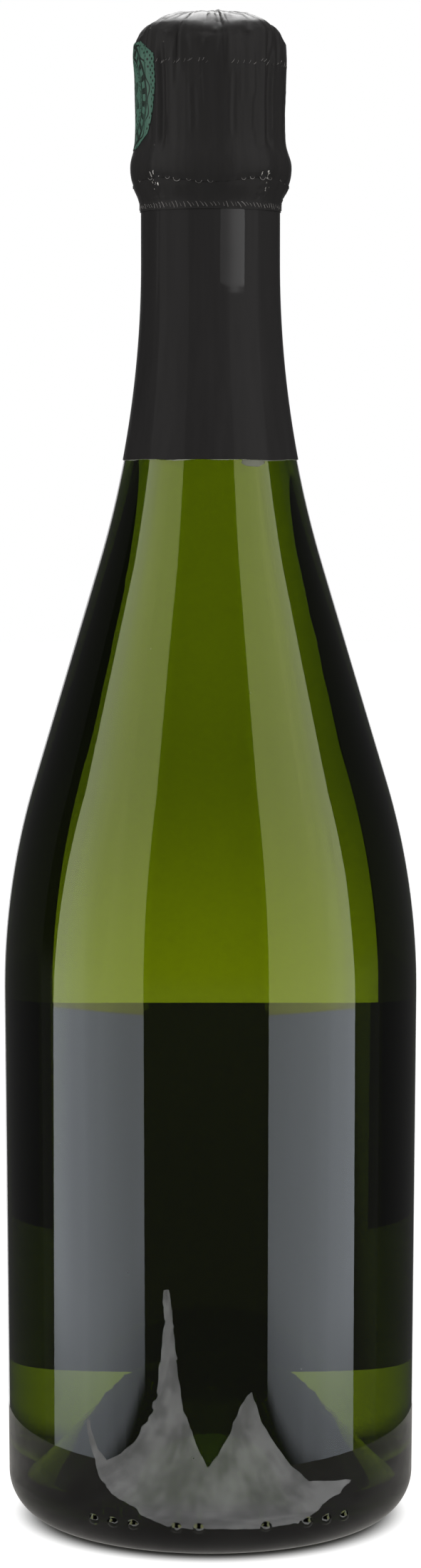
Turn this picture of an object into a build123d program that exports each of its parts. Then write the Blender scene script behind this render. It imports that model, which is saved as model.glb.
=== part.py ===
"""Sparkling wine bottle, corked, wired and foil-dressed, in millimetres.

The bottle stands on Z = 0 with its axis on Z. The front label faces +Y, so -Y is the bare back.
"""

import math
import os

from build123d import *

# Glass, outside
body_radius = 44.2
foot_radius = 43.5
heel_radius = 10.0
shoulder_start = 113.0
shoulder_radius = 155.0
cone_angle = 16.7
neck_sweep_radius = 220.0
neck_radius = 14.45

# Glass, underside and inside
bearing_width = 3.0
bearing_radius = 4.0
punt_flank_angle = 57.5
punt_dome_radius = 14.0
base_thickness = 5.0
wall_thickness = 4.8
inner_heel_radius = 5.5
inner_shoulder_start = 111.0
bore_radius = 8.75

# Glass, mouth: a groove for the belt wire, the ring that it bites under, and the crown bead
groove_radius = 13.6
groove_length = 3.6
groove_slope_length = 1.3
ring_radius = 15.1
ring_height = 4.8
recess_radius = 12.9
recess_height = 3.6
bead_radius = 13.5
bead_height = 5.5
mouth_slope_length = 0.9
ring_edge_round = 1.1
bead_edge_round = 1.6
mouth_edge_round = 0.6
neck_straight_length = 11.3

# Mould dots on the heel, counted in steps either side of the one nearest the front
heel_dot_radius = 1.2
heel_dot_proud = 0.45
heel_dot_height = 7.5
heel_dot_pitch_angle = 6.2
heel_dot_first_angle = -93.2
heel_dot_steps = (-5, -4, -3, -1, 0, 3, 5, 6, 7)

# Cork: a pressed granule body on two discs of solid cork
cork_fit_clearance = 0.05
cork_seated_length = 25.0
cork_disc_thickness = 5.5
cork_head_radius = 13.4
cork_head_height = 16.0
cork_head_clearance = 0.1
cork_head_round = 2.4
cork_collar_length = 1.2

# Cap plate on the cork, inside the wire cage
plate_thickness = 0.3
plate_clearance = 0.05
plate_skirt_clearance = 0.2
plate_skirt_length = 1.9
plate_edge_round = 0.8
plate_rim_round = 0.1
plate_dish_round = 0.4
plate_dish_radius = 8.6
plate_dish_depth = 0.5
plate_dish_slope_length = 1.2

# Wire cage
leg_wire_diameter = 1.1
leg_count = 4
leg_first_angle = 45.0
leg_plate_clearance = 0.2
leg_ring_clearance = 0.2
leg_top_bend_radius = 1.6
leg_side_bend_radius = 1.5
leg_slope_length = 2.4
top_loop_radius = 11.4

# Belt wire under the ring, with an eye for each leg and the twisted loop that opens it
belt_wire_diameter = 0.9
belt_eye_clearance = 0.05
eye_wire_diameter = 0.6
eye_groove_clearance = 0.15
ear_angle = 0.0
ear_stem_length = 8.6
ear_loop_radius = 3.0
ear_stem_diameter = 1.1
ear_bend_radius = 1.2

# Foil: the hood over the cage, the tear strip under it and the long neck piece
foil_thickness = 0.2
foil_glass_clearance = 0.05
hood_cage_clearance = 0.25
hood_side_radius = 15.95
hood_top_clearance = 0.4
hood_corner_radius = 3.0
hood_crown_rise = 0.3
hood_shoulder_length = 2.6
tear_gap = 0.1
strip_width = 5.6
strip_lap = 0.3
strip_slope_length = 2.4
foil_neck_length = 52.8

# Pull tab on the tear strip
tab_thickness = 0.2
tab_clearance = 0.2
tab_length = 11.0
tab_edge_margin = 0.6
tab_root_angle = 58.0

# Paper: the seal on the hood and the label on the body
seal_thickness = 0.15
seal_clearance = 0.05
seal_width = 20.6
seal_side_height = 10.0
seal_height = 20.6
seal_tip_width = 8.0
seal_centre_angle = 185.0
seal_drop = 1.6
label_thickness = 0.16
label_clearance = 0.05
label_foot_height = 25.6
label_height = 82.0
label_width = 104.0

# Places that follow from the sizes above
cone = math.radians(cone_angle)
flank = math.radians(punt_flank_angle)
taper = math.atan2(body_radius - foot_radius, shoulder_start - heel_radius)
heel_centre_radius = foot_radius - heel_radius


def outward(angle):
    """Unit vector across the outline, where it leans in from the vertical by this angle."""
    return Vector(math.cos(angle), math.sin(angle))


def upward(angle):
    """Unit vector up the outline, where it leans in from the vertical by this angle."""
    return Vector(-math.sin(angle), math.cos(angle))


def arc_between(centre, reach, start, end):
    """Arc about a centre, from one lean to another. A negative reach makes it hollow."""
    return ThreePointArc(
        centre + outward(start) * reach,
        centre + outward((start + end) / 2) * reach,
        centre + outward(end) * reach,
    )


def flank_lines(foot, waist, shoulder_reach, sweep_reach, top_radius):
    """Side of the bottle from its foot to the neck: taper, shoulder arc, cone and neck sweep."""
    lean = -math.atan2(waist.X - foot.X, waist.Y - foot.Y)
    shoulder_centre = waist - outward(lean) * shoulder_reach
    cone_foot = shoulder_centre + outward(cone) * shoulder_reach
    sweep_width = sweep_reach * (1 - math.cos(cone))
    cone_length = (cone_foot.X - top_radius - sweep_width) / math.sin(cone)
    cone_top = cone_foot + upward(cone) * cone_length
    sweep_centre = cone_top + outward(cone) * sweep_reach
    lines = [
        Line(foot, waist),
        arc_between(shoulder_centre, shoulder_reach, lean, cone),
        Line(cone_foot, cone_top),
        arc_between(sweep_centre, -sweep_reach, cone, 0),
    ]
    return lines, Vector(top_radius, sweep_centre.Y)


def outer_lines(offset=0):
    """Outside of the bottle from heel to neck, moved out by an offset."""
    foot = Vector(foot_radius + offset, heel_radius)
    waist = Vector(body_radius + offset, shoulder_start)
    return flank_lines(
        foot,
        waist,
        shoulder_radius + offset,
        neck_sweep_radius - offset,
        neck_radius + offset,
    )


neck_foot_height = outer_lines()[1].Y
groove_foot_height = neck_foot_height + neck_straight_length
ring_foot_height = groove_foot_height + groove_slope_length + groove_length
ring_top_height = ring_foot_height + ring_height
recess_top_height = ring_top_height + mouth_slope_length + recess_height
glass_height = recess_top_height + mouth_slope_length + bead_height


def turned(lines):
    """Solid of revolution about the bottle's axis from the lines of a closed half outline."""
    return revolve(Plane.XZ * make_face(lines), axis=Axis.Z)


def closed_band(points):
    """Solid of revolution of a straight-sided outline."""
    return turned(Polyline(*points, close=True))


def spun(solid, angle):
    """A solid turned about the bottle's axis."""
    return Rotation(0, 0, angle) * solid


def mouth_lines(start):
    """Outside of the mouth, from the top of the neck to the bore."""
    points = [
        start,
        Vector(neck_radius, groove_foot_height),
        Vector(groove_radius, groove_foot_height + groove_slope_length),
        Vector(groove_radius, ring_foot_height),
        Vector(ring_radius, ring_foot_height),
        Vector(ring_radius, ring_top_height),
        Vector(recess_radius, ring_top_height + mouth_slope_length),
        Vector(recess_radius, recess_top_height),
        Vector(bead_radius, recess_top_height + mouth_slope_length),
        Vector(bead_radius, glass_height),
        Vector(bore_radius, glass_height),
        Vector(bore_radius, recess_top_height),
    ]
    rounds = [
        ring_edge_round,
        mouth_edge_round,
        mouth_edge_round,
        mouth_edge_round,
        ring_edge_round,
        mouth_edge_round,
        mouth_edge_round,
        mouth_edge_round,
        bead_edge_round,
        mouth_edge_round,
    ]
    return FilletPolyline(*points, radius=rounds), points[-1]


def punt_lines():
    """Underside from the heel to the apex of the punt, and what the inside needs of it."""
    across = Vector(math.sin(flank), math.cos(flank))
    bearing_centre = Vector(heel_centre_radius - bearing_width, bearing_radius)
    bearing_foot = bearing_centre - Vector(0, bearing_radius)
    flank_foot = bearing_centre - across * bearing_radius
    flank_run = flank_foot.X - punt_dome_radius * math.sin(flank)
    flank_top = flank_foot + Vector(-flank_run, flank_run * math.tan(flank))
    dome_centre = flank_top - across * punt_dome_radius
    half = flank / 2
    lines = [
        Line(Vector(heel_centre_radius, 0), bearing_foot),
        ThreePointArc(
            bearing_foot,
            bearing_centre - Vector(math.sin(half), math.cos(half)) * bearing_radius,
            flank_foot,
        ),
        Line(flank_foot, flank_top),
        ThreePointArc(
            flank_top,
            dome_centre + Vector(math.sin(half), math.cos(half)) * punt_dome_radius,
            dome_centre + Vector(0, punt_dome_radius),
        ),
    ]
    return lines, flank_foot, dome_centre, across


def inside_floor_lines(flank_foot, dome_centre, across):
    """Inside of the base, from the foot of the wall to the top of the punt."""
    dome_reach = punt_dome_radius + base_thickness
    wall_radius = foot_radius - wall_thickness
    floor_foot = flank_foot + across * base_thickness
    centre_radius = wall_radius - inner_heel_radius
    centre_height = floor_foot.Y
    centre_height += (inner_heel_radius - (centre_radius - floor_foot.X) * across.X) / across.Y
    centre = Vector(centre_radius, centre_height)
    wall_foot = centre + Vector(inner_heel_radius, 0)
    flank_start = centre - across * inner_heel_radius
    flank_end = dome_centre + across * dome_reach
    half = flank / 2
    lines = [
        ThreePointArc(wall_foot, centre - Vector(0, inner_heel_radius), flank_start),
        Line(flank_start, flank_end),
        ThreePointArc(
            flank_end,
            dome_centre + Vector(math.sin(half), math.cos(half)) * dome_reach,
            dome_centre + Vector(0, dome_reach),
        ),
    ]
    return lines, wall_foot


def heel_surface(height):
    """Radius of the heel at a height, and the centre that its arc turns about."""
    centre = Vector(heel_centre_radius, heel_radius)
    drop = heel_radius - height
    return Vector(centre.X + math.sqrt(heel_radius**2 - drop**2), height), centre


def heel_dots():
    """Small round mould marks on the front of the heel."""
    at, centre = heel_surface(heel_dot_height)
    seat = at + (centre - at).normalized() * (heel_dot_radius - heel_dot_proud)
    dot = Pos(seat.X, 0, seat.Y) * Sphere(heel_dot_radius)
    return [
        spun(dot, heel_dot_first_angle + step * heel_dot_pitch_angle) for step in heel_dot_steps
    ]


def make_bottle_glass():
    """The bottle, with its punt, mouth and mould dots."""
    underside, flank_foot, dome_centre, across = punt_lines()
    floor, wall_foot = inside_floor_lines(flank_foot, dome_centre, across)
    outside, neck_foot = outer_lines()
    mouth, bore_foot = mouth_lines(neck_foot)
    waist = Vector(body_radius - wall_thickness, inner_shoulder_start)
    inside, bore_top = flank_lines(
        wall_foot,
        waist,
        shoulder_radius - wall_thickness,
        neck_sweep_radius + wall_thickness,
        bore_radius,
    )
    heel = ThreePointArc(
        Vector(heel_centre_radius, 0),
        Vector(heel_centre_radius, heel_radius) + outward(-math.pi / 4) * heel_radius,
        Vector(foot_radius, heel_radius),
    )
    axis_line = Line(floor[-1] @ 1, underside[-1] @ 1)
    lines = [*underside, heel, *outside, mouth, Line(bore_foot, bore_top)]
    lines += [*inside, *floor, axis_line]
    return turned(lines) + heel_dots()


cork_foot_height = glass_height - cork_seated_length
cork_radius = bore_radius - cork_fit_clearance
cork_top_height = glass_height + cork_head_clearance + cork_head_height
body_foot_height = cork_foot_height + 2 * cork_disc_thickness


def make_cork_disc(foot_height):
    """One disc of solid cork, which faces the wine."""
    return Pos(0, 0, foot_height) * Cylinder(
        cork_radius, cork_disc_thickness, align=(Align.CENTER, Align.CENTER, Align.MIN)
    )


def make_cork_body():
    """Granule cork: the shank in the bore and the mushroom head above the mouth."""
    head_foot = glass_height + cork_head_clearance
    points = [
        Vector(0, body_foot_height),
        Vector(cork_radius, body_foot_height),
        Vector(cork_radius, head_foot),
        Vector(cork_head_radius - cork_collar_length, head_foot),
        Vector(cork_head_radius, head_foot + cork_collar_length),
        Vector(cork_head_radius, cork_top_height),
        Vector(0, cork_top_height),
    ]
    rounds = [
        cork_fit_clearance,
        mouth_edge_round,
        cork_collar_length / 2,
        cork_collar_length / 2,
        cork_head_round,
    ]
    outline = FilletPolyline(*points, radius=rounds)
    return turned([outline, Line(points[-1], points[0])])


plate_under_height = cork_top_height + plate_clearance
plate_top_height = plate_under_height + plate_thickness
plate_skirt_radius = cork_head_radius + plate_skirt_clearance
plate_radius = plate_skirt_radius + plate_thickness


def make_cap_plate():
    """Dished tinplate disc with a short skirt, which keeps the wires from cutting the cork."""
    dish_edge = plate_dish_radius + plate_dish_slope_length
    skirt_foot = plate_under_height - plate_skirt_length
    points = [
        Vector(0, plate_top_height + plate_dish_depth),
        Vector(plate_dish_radius, plate_top_height + plate_dish_depth),
        Vector(dish_edge, plate_top_height),
        Vector(plate_radius, plate_top_height),
        Vector(plate_radius, skirt_foot),
        Vector(plate_skirt_radius, skirt_foot),
        Vector(plate_skirt_radius, plate_under_height),
        Vector(dish_edge, plate_under_height),
        Vector(plate_dish_radius, plate_under_height + plate_dish_depth),
        Vector(0, plate_under_height + plate_dish_depth),
    ]
    inner_round = plate_edge_round - plate_thickness
    rounds = [
        plate_dish_round,
        plate_dish_round,
        plate_edge_round,
        plate_rim_round,
        plate_rim_round,
        inner_round,
        plate_dish_round,
        plate_dish_round,
    ]
    outline = FilletPolyline(*points, radius=rounds)
    return turned([outline, Line(points[-1], points[0])])


leg_wire_radius = leg_wire_diameter / 2
leg_side_radius = plate_radius + leg_plate_clearance + leg_wire_radius
leg_ring_radius = ring_radius + leg_ring_clearance + leg_wire_radius
leg_top_height = plate_top_height + plate_clearance + leg_wire_radius
leg_foot_height = ring_foot_height + tear_gap + leg_wire_radius / 2


def make_cage_frame():
    """Top loop round the cap plate and the four legs down to the belt."""
    slope_top = ring_top_height + leg_slope_length + mouth_slope_length
    points = [
        Vector(top_loop_radius, leg_top_height),
        Vector(leg_side_radius, leg_top_height),
        Vector(leg_side_radius, slope_top),
        Vector(leg_ring_radius, slope_top - leg_slope_length),
        Vector(leg_ring_radius, leg_foot_height),
    ]
    bends = [leg_top_bend_radius, leg_side_bend_radius, leg_side_bend_radius]
    path = Plane.XZ * FilletPolyline(*points, radius=bends)
    section = Plane(origin=path @ 0, z_dir=path % 0) * Circle(leg_wire_radius)
    leg = sweep(section, path=path)
    loop = Pos(0, 0, leg_top_height) * Torus(top_loop_radius, leg_wire_radius)
    step_angle = 360 / leg_count
    legs = [spun(leg, leg_first_angle + i * step_angle) for i in range(leg_count)]
    return loop + legs


belt_wire_radius = belt_wire_diameter / 2
eye_wire_radius = eye_wire_diameter / 2
eye_reach = belt_wire_radius + belt_eye_clearance + eye_wire_radius
belt_centre_radius = groove_radius + eye_groove_clearance + eye_wire_radius + eye_reach
belt_height = ring_foot_height - belt_eye_clearance - eye_wire_radius - belt_wire_radius


def make_eye():
    """Eye of one leg round the belt wire, with the stub that meets the leg's end."""
    at_belt = Pos(belt_centre_radius, 0, belt_height)
    eye = at_belt * Rotation(90, 0, 0) * Torus(eye_reach, eye_wire_radius)
    under_ring = ring_foot_height - belt_eye_clearance
    keep = Pos(belt_centre_radius, 0, under_ring) * Box(
        4 * eye_reach,
        4 * eye_reach,
        4 * eye_reach,
        align=(Align.CENTER, Align.CENTER, Align.MAX),
    )
    stub_length = leg_foot_height - belt_height
    stub = Pos(leg_ring_radius, 0, belt_height) * Cylinder(
        leg_wire_radius, stub_length, align=(Align.CENTER, Align.CENTER, Align.MIN)
    )
    return (eye & keep) + stub


def make_ear():
    """Twisted stem and loop, folded up flat beside the ring."""
    stem_radius = ear_stem_diameter / 2
    ring_reach = ring_radius + leg_ring_clearance + stem_radius
    side_radius = leg_side_radius - leg_plate_clearance
    stem_top = belt_height + ear_stem_length
    points = [
        Vector(belt_centre_radius, belt_height),
        Vector(ring_reach, belt_height),
        Vector(ring_reach, ring_top_height),
        Vector(side_radius, stem_top),
    ]
    path = Plane.XZ * FilletPolyline(*points, radius=[belt_wire_radius * 2 / 3, ear_bend_radius])
    section = Plane(origin=path @ 0, z_dir=path % 0) * Circle(belt_wire_radius / 2)
    stem_foot = sweep(section, path=path)
    thick = Plane.XZ * FilletPolyline(
        Vector(ring_reach, belt_height + stem_radius),
        Vector(ring_reach, ring_top_height),
        Vector(side_radius, stem_top),
        radius=ear_bend_radius,
    )
    stem = sweep(Plane(origin=thick @ 0, z_dir=thick % 0) * Circle(stem_radius), path=thick)
    loop_height = stem_top + ear_loop_radius
    loop = Pos(side_radius, 0, loop_height) * Rotation(0, 90, 0)
    return stem_foot + stem + loop * Torus(ear_loop_radius, belt_wire_radius)


def make_leg_eyes():
    """The eyes at the feet of the legs, which run on the belt wire."""
    step_angle = 360 / leg_count
    eye = make_eye()
    return Compound([spun(eye, leg_first_angle + i * step_angle) for i in range(leg_count)])


def make_belt_wire():
    """Belt wire with the loop that opens it."""
    belt = Pos(0, 0, belt_height) * Torus(belt_centre_radius, belt_wire_radius)
    return belt + spun(make_ear(), ear_angle)


hood_belt_radius = leg_ring_radius + leg_wire_radius + hood_cage_clearance + foil_thickness
hood_foot_height = ring_foot_height + strip_lap
hood_top_height = leg_top_height + leg_wire_radius + hood_top_clearance + foil_thickness
strip_top_height = hood_foot_height - tear_gap
strip_foot_height = strip_top_height - strip_width
neck_foil_top_height = strip_foot_height - tear_gap
neck_foil_foot_height = neck_foil_top_height - foil_neck_length
foil_inner_radius = neck_radius + foil_glass_clearance


def hood_lines(depth):
    """Half outline of the hood's outside, moved in by a depth."""
    side = hood_side_radius - depth
    belt = hood_belt_radius - depth
    top = hood_top_height - depth
    corner = hood_corner_radius - depth
    slope_foot = ring_top_height + mouth_slope_length
    corner_height = hood_top_height - hood_corner_radius - hood_crown_rise
    turn = math.radians(45)
    lines = Polyline(
        Vector(belt, hood_foot_height),
        Vector(belt, slope_foot),
        Vector(side, slope_foot + hood_shoulder_length),
        Vector(side, corner_height),
    )
    rounded = ThreePointArc(
        Vector(side, corner_height),
        Vector(side - corner, corner_height) + outward(turn) * corner,
        Vector(side - corner, corner_height + corner),
    )
    crown = Line(Vector(side - corner, corner_height + corner), Vector(0, top))
    return [lines, rounded, crown]


def make_foil_hood():
    """Foil over the cork and cage, down to the tear strip."""
    outside = hood_lines(0)
    inside = hood_lines(foil_thickness)
    foot = Line(outside[0] @ 0, inside[0] @ 0)
    axis_line = Line(outside[-1] @ 1, inside[-1] @ 1)
    return turned([*outside, *inside, foot, axis_line])


def strip_points(depth):
    """Outline of the strip's outside from top to foot, moved in by a depth."""
    belt = hood_belt_radius - depth
    neck = foil_inner_radius + foil_thickness - depth
    slope_foot = strip_foot_height + strip_lap
    return [
        Vector(belt, strip_top_height),
        Vector(belt, slope_foot + strip_slope_length + tear_gap),
        Vector(neck, slope_foot),
        Vector(neck, strip_foot_height),
    ]


def make_tear_strip():
    """Band of foil between the two rows of perforations."""
    return closed_band([*strip_points(0), *reversed(strip_points(foil_thickness))])


def make_tear_tab():
    """Pull tab, laid round the strip from its root."""
    slope_top = strip_foot_height + strip_lap + strip_slope_length + tear_gap
    inner = hood_belt_radius + tab_clearance
    outer = inner + tab_thickness
    points = [
        Vector(inner, slope_top - strip_lap),
        Vector(outer, slope_top - strip_lap),
        Vector(outer, strip_top_height - tab_edge_margin),
        Vector(inner, strip_top_height - tab_edge_margin),
    ]
    sweep_angle = math.degrees(tab_length / hood_belt_radius)
    band = revolve(
        Plane.XZ * make_face(Polyline(*points, close=True)), axis=Axis.Z, revolution_arc=sweep_angle
    )
    return spun(band, tab_root_angle)


def make_neck_foil():
    """Foil down the neck, on the glass."""
    outside, outer_top = outer_lines(foil_glass_clearance + foil_thickness)
    inside, inner_top = outer_lines(foil_glass_clearance)
    walls = [
        Line(outer_top, Vector(outer_top.X, neck_foil_top_height)),
        Line(Vector(outer_top.X, neck_foil_top_height), Vector(inner_top.X, neck_foil_top_height)),
        Line(Vector(inner_top.X, neck_foil_top_height), inner_top),
        Line(outside[0] @ 0, inside[0] @ 0),
    ]
    skin = turned([*outside, *inside, *walls])
    keep = Pos(0, 0, neck_foil_foot_height) * Cylinder(
        2 * body_radius, glass_height, align=(Align.CENTER, Align.CENTER, Align.MIN)
    )
    return skin & keep


def make_seal_patch():
    """Paper seal with pointed ends, glued round the side of the hood."""
    corner_height = hood_top_height - hood_corner_radius - hood_crown_rise
    centre_height = corner_height - seal_drop - seal_height / 2
    inner = hood_side_radius + seal_clearance
    shell = Cylinder(inner + seal_thickness, 2 * seal_height) - Cylinder(inner, 3 * seal_height)
    half_angle = seal_width / 2 / hood_side_radius
    half_width = hood_side_radius * math.sin(half_angle)
    half_tip = hood_side_radius * math.sin(seal_tip_width / 2 / hood_side_radius)
    half_side = seal_side_height / 2
    half_height = seal_height / 2
    outline = Polyline(
        (half_width, half_side),
        (half_tip, half_height),
        (-half_tip, half_height),
        (-half_width, half_side),
        (-half_width, -half_side),
        (-half_tip, -half_height),
        (half_tip, -half_height),
        (half_width, -half_side),
        close=True,
    )
    reach = 2 * hood_side_radius
    cutter = extrude(Plane.XZ * make_face(outline), amount=-reach)
    patch = Pos(0, 0, centre_height) * (shell & cutter)
    return spun(patch, seal_centre_angle - 90)


def make_front_label():
    """Paper label, glued round the front of the body."""
    lean = math.tan(taper)
    foot = foot_radius + label_clearance + (label_foot_height - heel_radius) * lean
    top = foot + label_height * lean
    top_height = label_foot_height + label_height
    points = [
        Vector(foot, label_foot_height),
        Vector(foot + label_thickness, label_foot_height),
        Vector(top + label_thickness, top_height),
        Vector(top, top_height),
    ]
    sweep_angle = math.degrees(label_width / body_radius)
    band = revolve(
        Plane.XZ * make_face(Polyline(*points, close=True)), axis=Axis.Z, revolution_arc=sweep_angle
    )
    return spun(band, 90 - sweep_angle / 2)


def make_parts():
    """Every piece by its node's name."""
    return {
        "bottle_glass": make_bottle_glass(),
        "front_label": make_front_label(),
        "neck_foil": make_neck_foil(),
        "tear_strip": make_tear_strip(),
        "tear_tab": make_tear_tab(),
        "foil_hood": make_foil_hood(),
        "seal_patch": make_seal_patch(),
        "cage_frame": make_cage_frame(),
        "leg_eyes": make_leg_eyes(),
        "belt_wire": make_belt_wire(),
        "cap_plate": make_cap_plate(),
        "cork_body": make_cork_body(),
        "cork_disc_upper": make_cork_disc(cork_foot_height + cork_disc_thickness),
        "cork_disc_lower": make_cork_disc(cork_foot_height),
    }


os.makedirs("parts", exist_ok=True)
for name, solid in make_parts().items():
    export_step(solid, f"parts/{name}.step")
    print(name, round(solid.volume), solid.bounding_box().size)
print("glass height", round(glass_height, 2), "whole height", round(hood_top_height, 2))
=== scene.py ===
"""Looks of a sparkling wine bottle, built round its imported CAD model.

The bottle stands on Z = 0 with its axis on Z. The front label faces +Y, and the camera sees the bare
back from -Y. Everything is in metres, so sizes are written in millimetres times MM.
"""

import logging
import math
import random
from dataclasses import dataclass, field, replace
from enum import Enum
from functools import cache
from typing import Any, Callable, Iterable, Sequence

import bmesh
import bpy
import numpy as np
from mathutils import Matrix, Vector, noise


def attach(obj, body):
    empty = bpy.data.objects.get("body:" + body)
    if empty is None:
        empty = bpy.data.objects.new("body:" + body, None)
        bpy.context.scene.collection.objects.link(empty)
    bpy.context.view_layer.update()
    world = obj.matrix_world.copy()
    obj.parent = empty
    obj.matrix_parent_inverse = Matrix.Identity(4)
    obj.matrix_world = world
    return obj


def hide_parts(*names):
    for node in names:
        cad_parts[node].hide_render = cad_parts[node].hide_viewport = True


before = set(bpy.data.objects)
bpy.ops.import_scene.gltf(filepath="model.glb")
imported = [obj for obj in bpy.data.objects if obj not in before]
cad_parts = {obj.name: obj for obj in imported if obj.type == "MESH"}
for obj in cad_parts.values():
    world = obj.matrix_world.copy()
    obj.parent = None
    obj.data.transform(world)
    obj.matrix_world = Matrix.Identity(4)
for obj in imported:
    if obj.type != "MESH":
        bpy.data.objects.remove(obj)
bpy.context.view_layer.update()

logging.basicConfig(level=logging.INFO, format="%(message)s")
log = logging.getLogger("bottle")

MM = 0.001
Point = tuple[float, float]
Polar = tuple[float, float, float]
Bend = Callable[[float, float, float], Polar]
Colour = tuple[float, float, float]


# Outlines


def arc_points(centre: Point, reach: float, start: float, end: float, steps: int) -> list[Point]:
    """Points of an arc in the half plane of radius and height.

    Args:
        centre: Centre of the arc.
        reach: Radius, negative for a hollow arc.
        start: First angle from the outward direction, in radians.
        end: Last angle.
        steps: Number of runs that the arc is cut into.

    Returns:
        The points, both ends included.
    """
    angles = [start + (end - start) * i / steps for i in range(steps + 1)]
    return [(centre[0] + reach * math.cos(a), centre[1] + reach * math.sin(a)) for a in angles]


def rounded_points(corners: Sequence[Point], radii: Sequence[float], steps: int = 4) -> list[Point]:
    """An open line of straight runs with each inner corner rounded.

    Args:
        corners: The corners, both ends included.
        radii: Radius of each inner corner, in order.
        steps: Number of runs for each round.

    Returns:
        The points of the rounded line.
    """
    points = [corners[0]]
    for before, corner, after, radius in zip(corners, corners[1:], corners[2:], radii):
        at = Vector(corner)
        back = (Vector(before) - at).normalized()
        ahead = (Vector(after) - at).normalized()
        half = back.angle(ahead) / 2
        if half > math.radians(89) or radius <= 0:
            points.append(corner)
            continue
        centre = at + (back + ahead).normalized() * (radius / math.sin(half))
        first = at + back * (radius / math.tan(half)) - centre
        last = at + ahead * (radius / math.tan(half)) - centre
        for i in range(steps + 1):
            share = i / steps
            spoke = (first * (1 - share) + last * share).normalized() * radius
            points.append(tuple(centre + spoke))
    points.append(corners[-1])
    return points


def dense(points: Sequence[Point], step: float) -> list[Point]:
    """Cuts long runs of an outline into steps.

    Args:
        points: The outline.
        step: Length that no step passes.

    Returns:
        The outline with more points.
    """
    result = [points[0]]
    for (x0, z0), (x1, z1) in zip(points, points[1:]):
        count = max(1, math.ceil(math.dist((x0, z0), (x1, z1)) / step))
        result += [(x0 + (x1 - x0) * i / count, z0 + (z1 - z0) * i / count) for i in range(1, count + 1)]
    return result


def smooth_step(low: float, high: float, value: float) -> float:
    """Share from 0 to 1 that rises smoothly between two values."""
    share = min(1.0, max(0.0, (value - low) / (high - low)))
    return share * share * (3 - 2 * share)


def hump(offset: float, width: float) -> float:
    """Bell curve with a height of 1."""
    return math.exp(-((offset / width) ** 2))


def ridge(offset: float, width: float) -> float:
    """Sharp bump of height 1 at an offset of 0."""
    return math.exp(-abs(offset) / width)


def window(value: float, low: float, low_full: float, high_full: float, high: float) -> float:
    """1 between the two full limits, and 0 outside the other two."""
    return smooth_step(low, low_full, value) * (1 - smooth_step(high_full, high, value))


def turn_between(angle: float, other: float) -> float:
    """Signed difference of two angles in degrees, from -180 to 180."""
    return (angle - other + 180) % 360 - 180


def ruffle(x: float, y: float, z: float = 0.0) -> float:
    """Smooth noise between about -1 and 1, the same on each run."""
    return noise.noise(Vector((x, y, z)))


def even_turns(count: int) -> list[float]:
    """Angles of evenly spaced columns, in degrees."""
    return [360 * i / count for i in range(count)]


def spot(turn: float, radius: float, height: float) -> Vector:
    """Place at an angle in degrees, a radius and a height."""
    a = math.radians(turn)
    return Vector((radius * math.cos(a), radius * math.sin(a), height))


def ring_points(radius: float, height: float, count: int) -> list[Vector]:
    """Places evenly round the axis."""
    return [spot(turn, radius, height) for turn in even_turns(count)]


def radius_at(points: Sequence[Point], height: float) -> float:
    """Radius of an outline at a height."""
    return float(np.interp(height, [p[1] for p in points], [p[0] for p in points]))


def smooth_outline(keys: Sequence[Point], rows: int, rounds: int = 0) -> list[Point]:
    """Outline in even rows through key points in millimetres.

    Args:
        keys: Height and radius of each key point.
        rows: Number of rows.
        rounds: How often each row is evened out with its neighbours.

    Returns:
        Radius and height of each row, in metres.
    """
    heights = np.linspace(keys[0][0], keys[-1][0], rows)
    radii = np.interp(heights, [k[0] for k in keys], [k[1] for k in keys])
    for _ in range(rounds):
        radii[1:-1] = np.convolve(radii, (0.25, 0.5, 0.25), "valid")
    return [(r * MM, z * MM) for r, z in zip(radii.tolist(), heights.tolist())]


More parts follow.
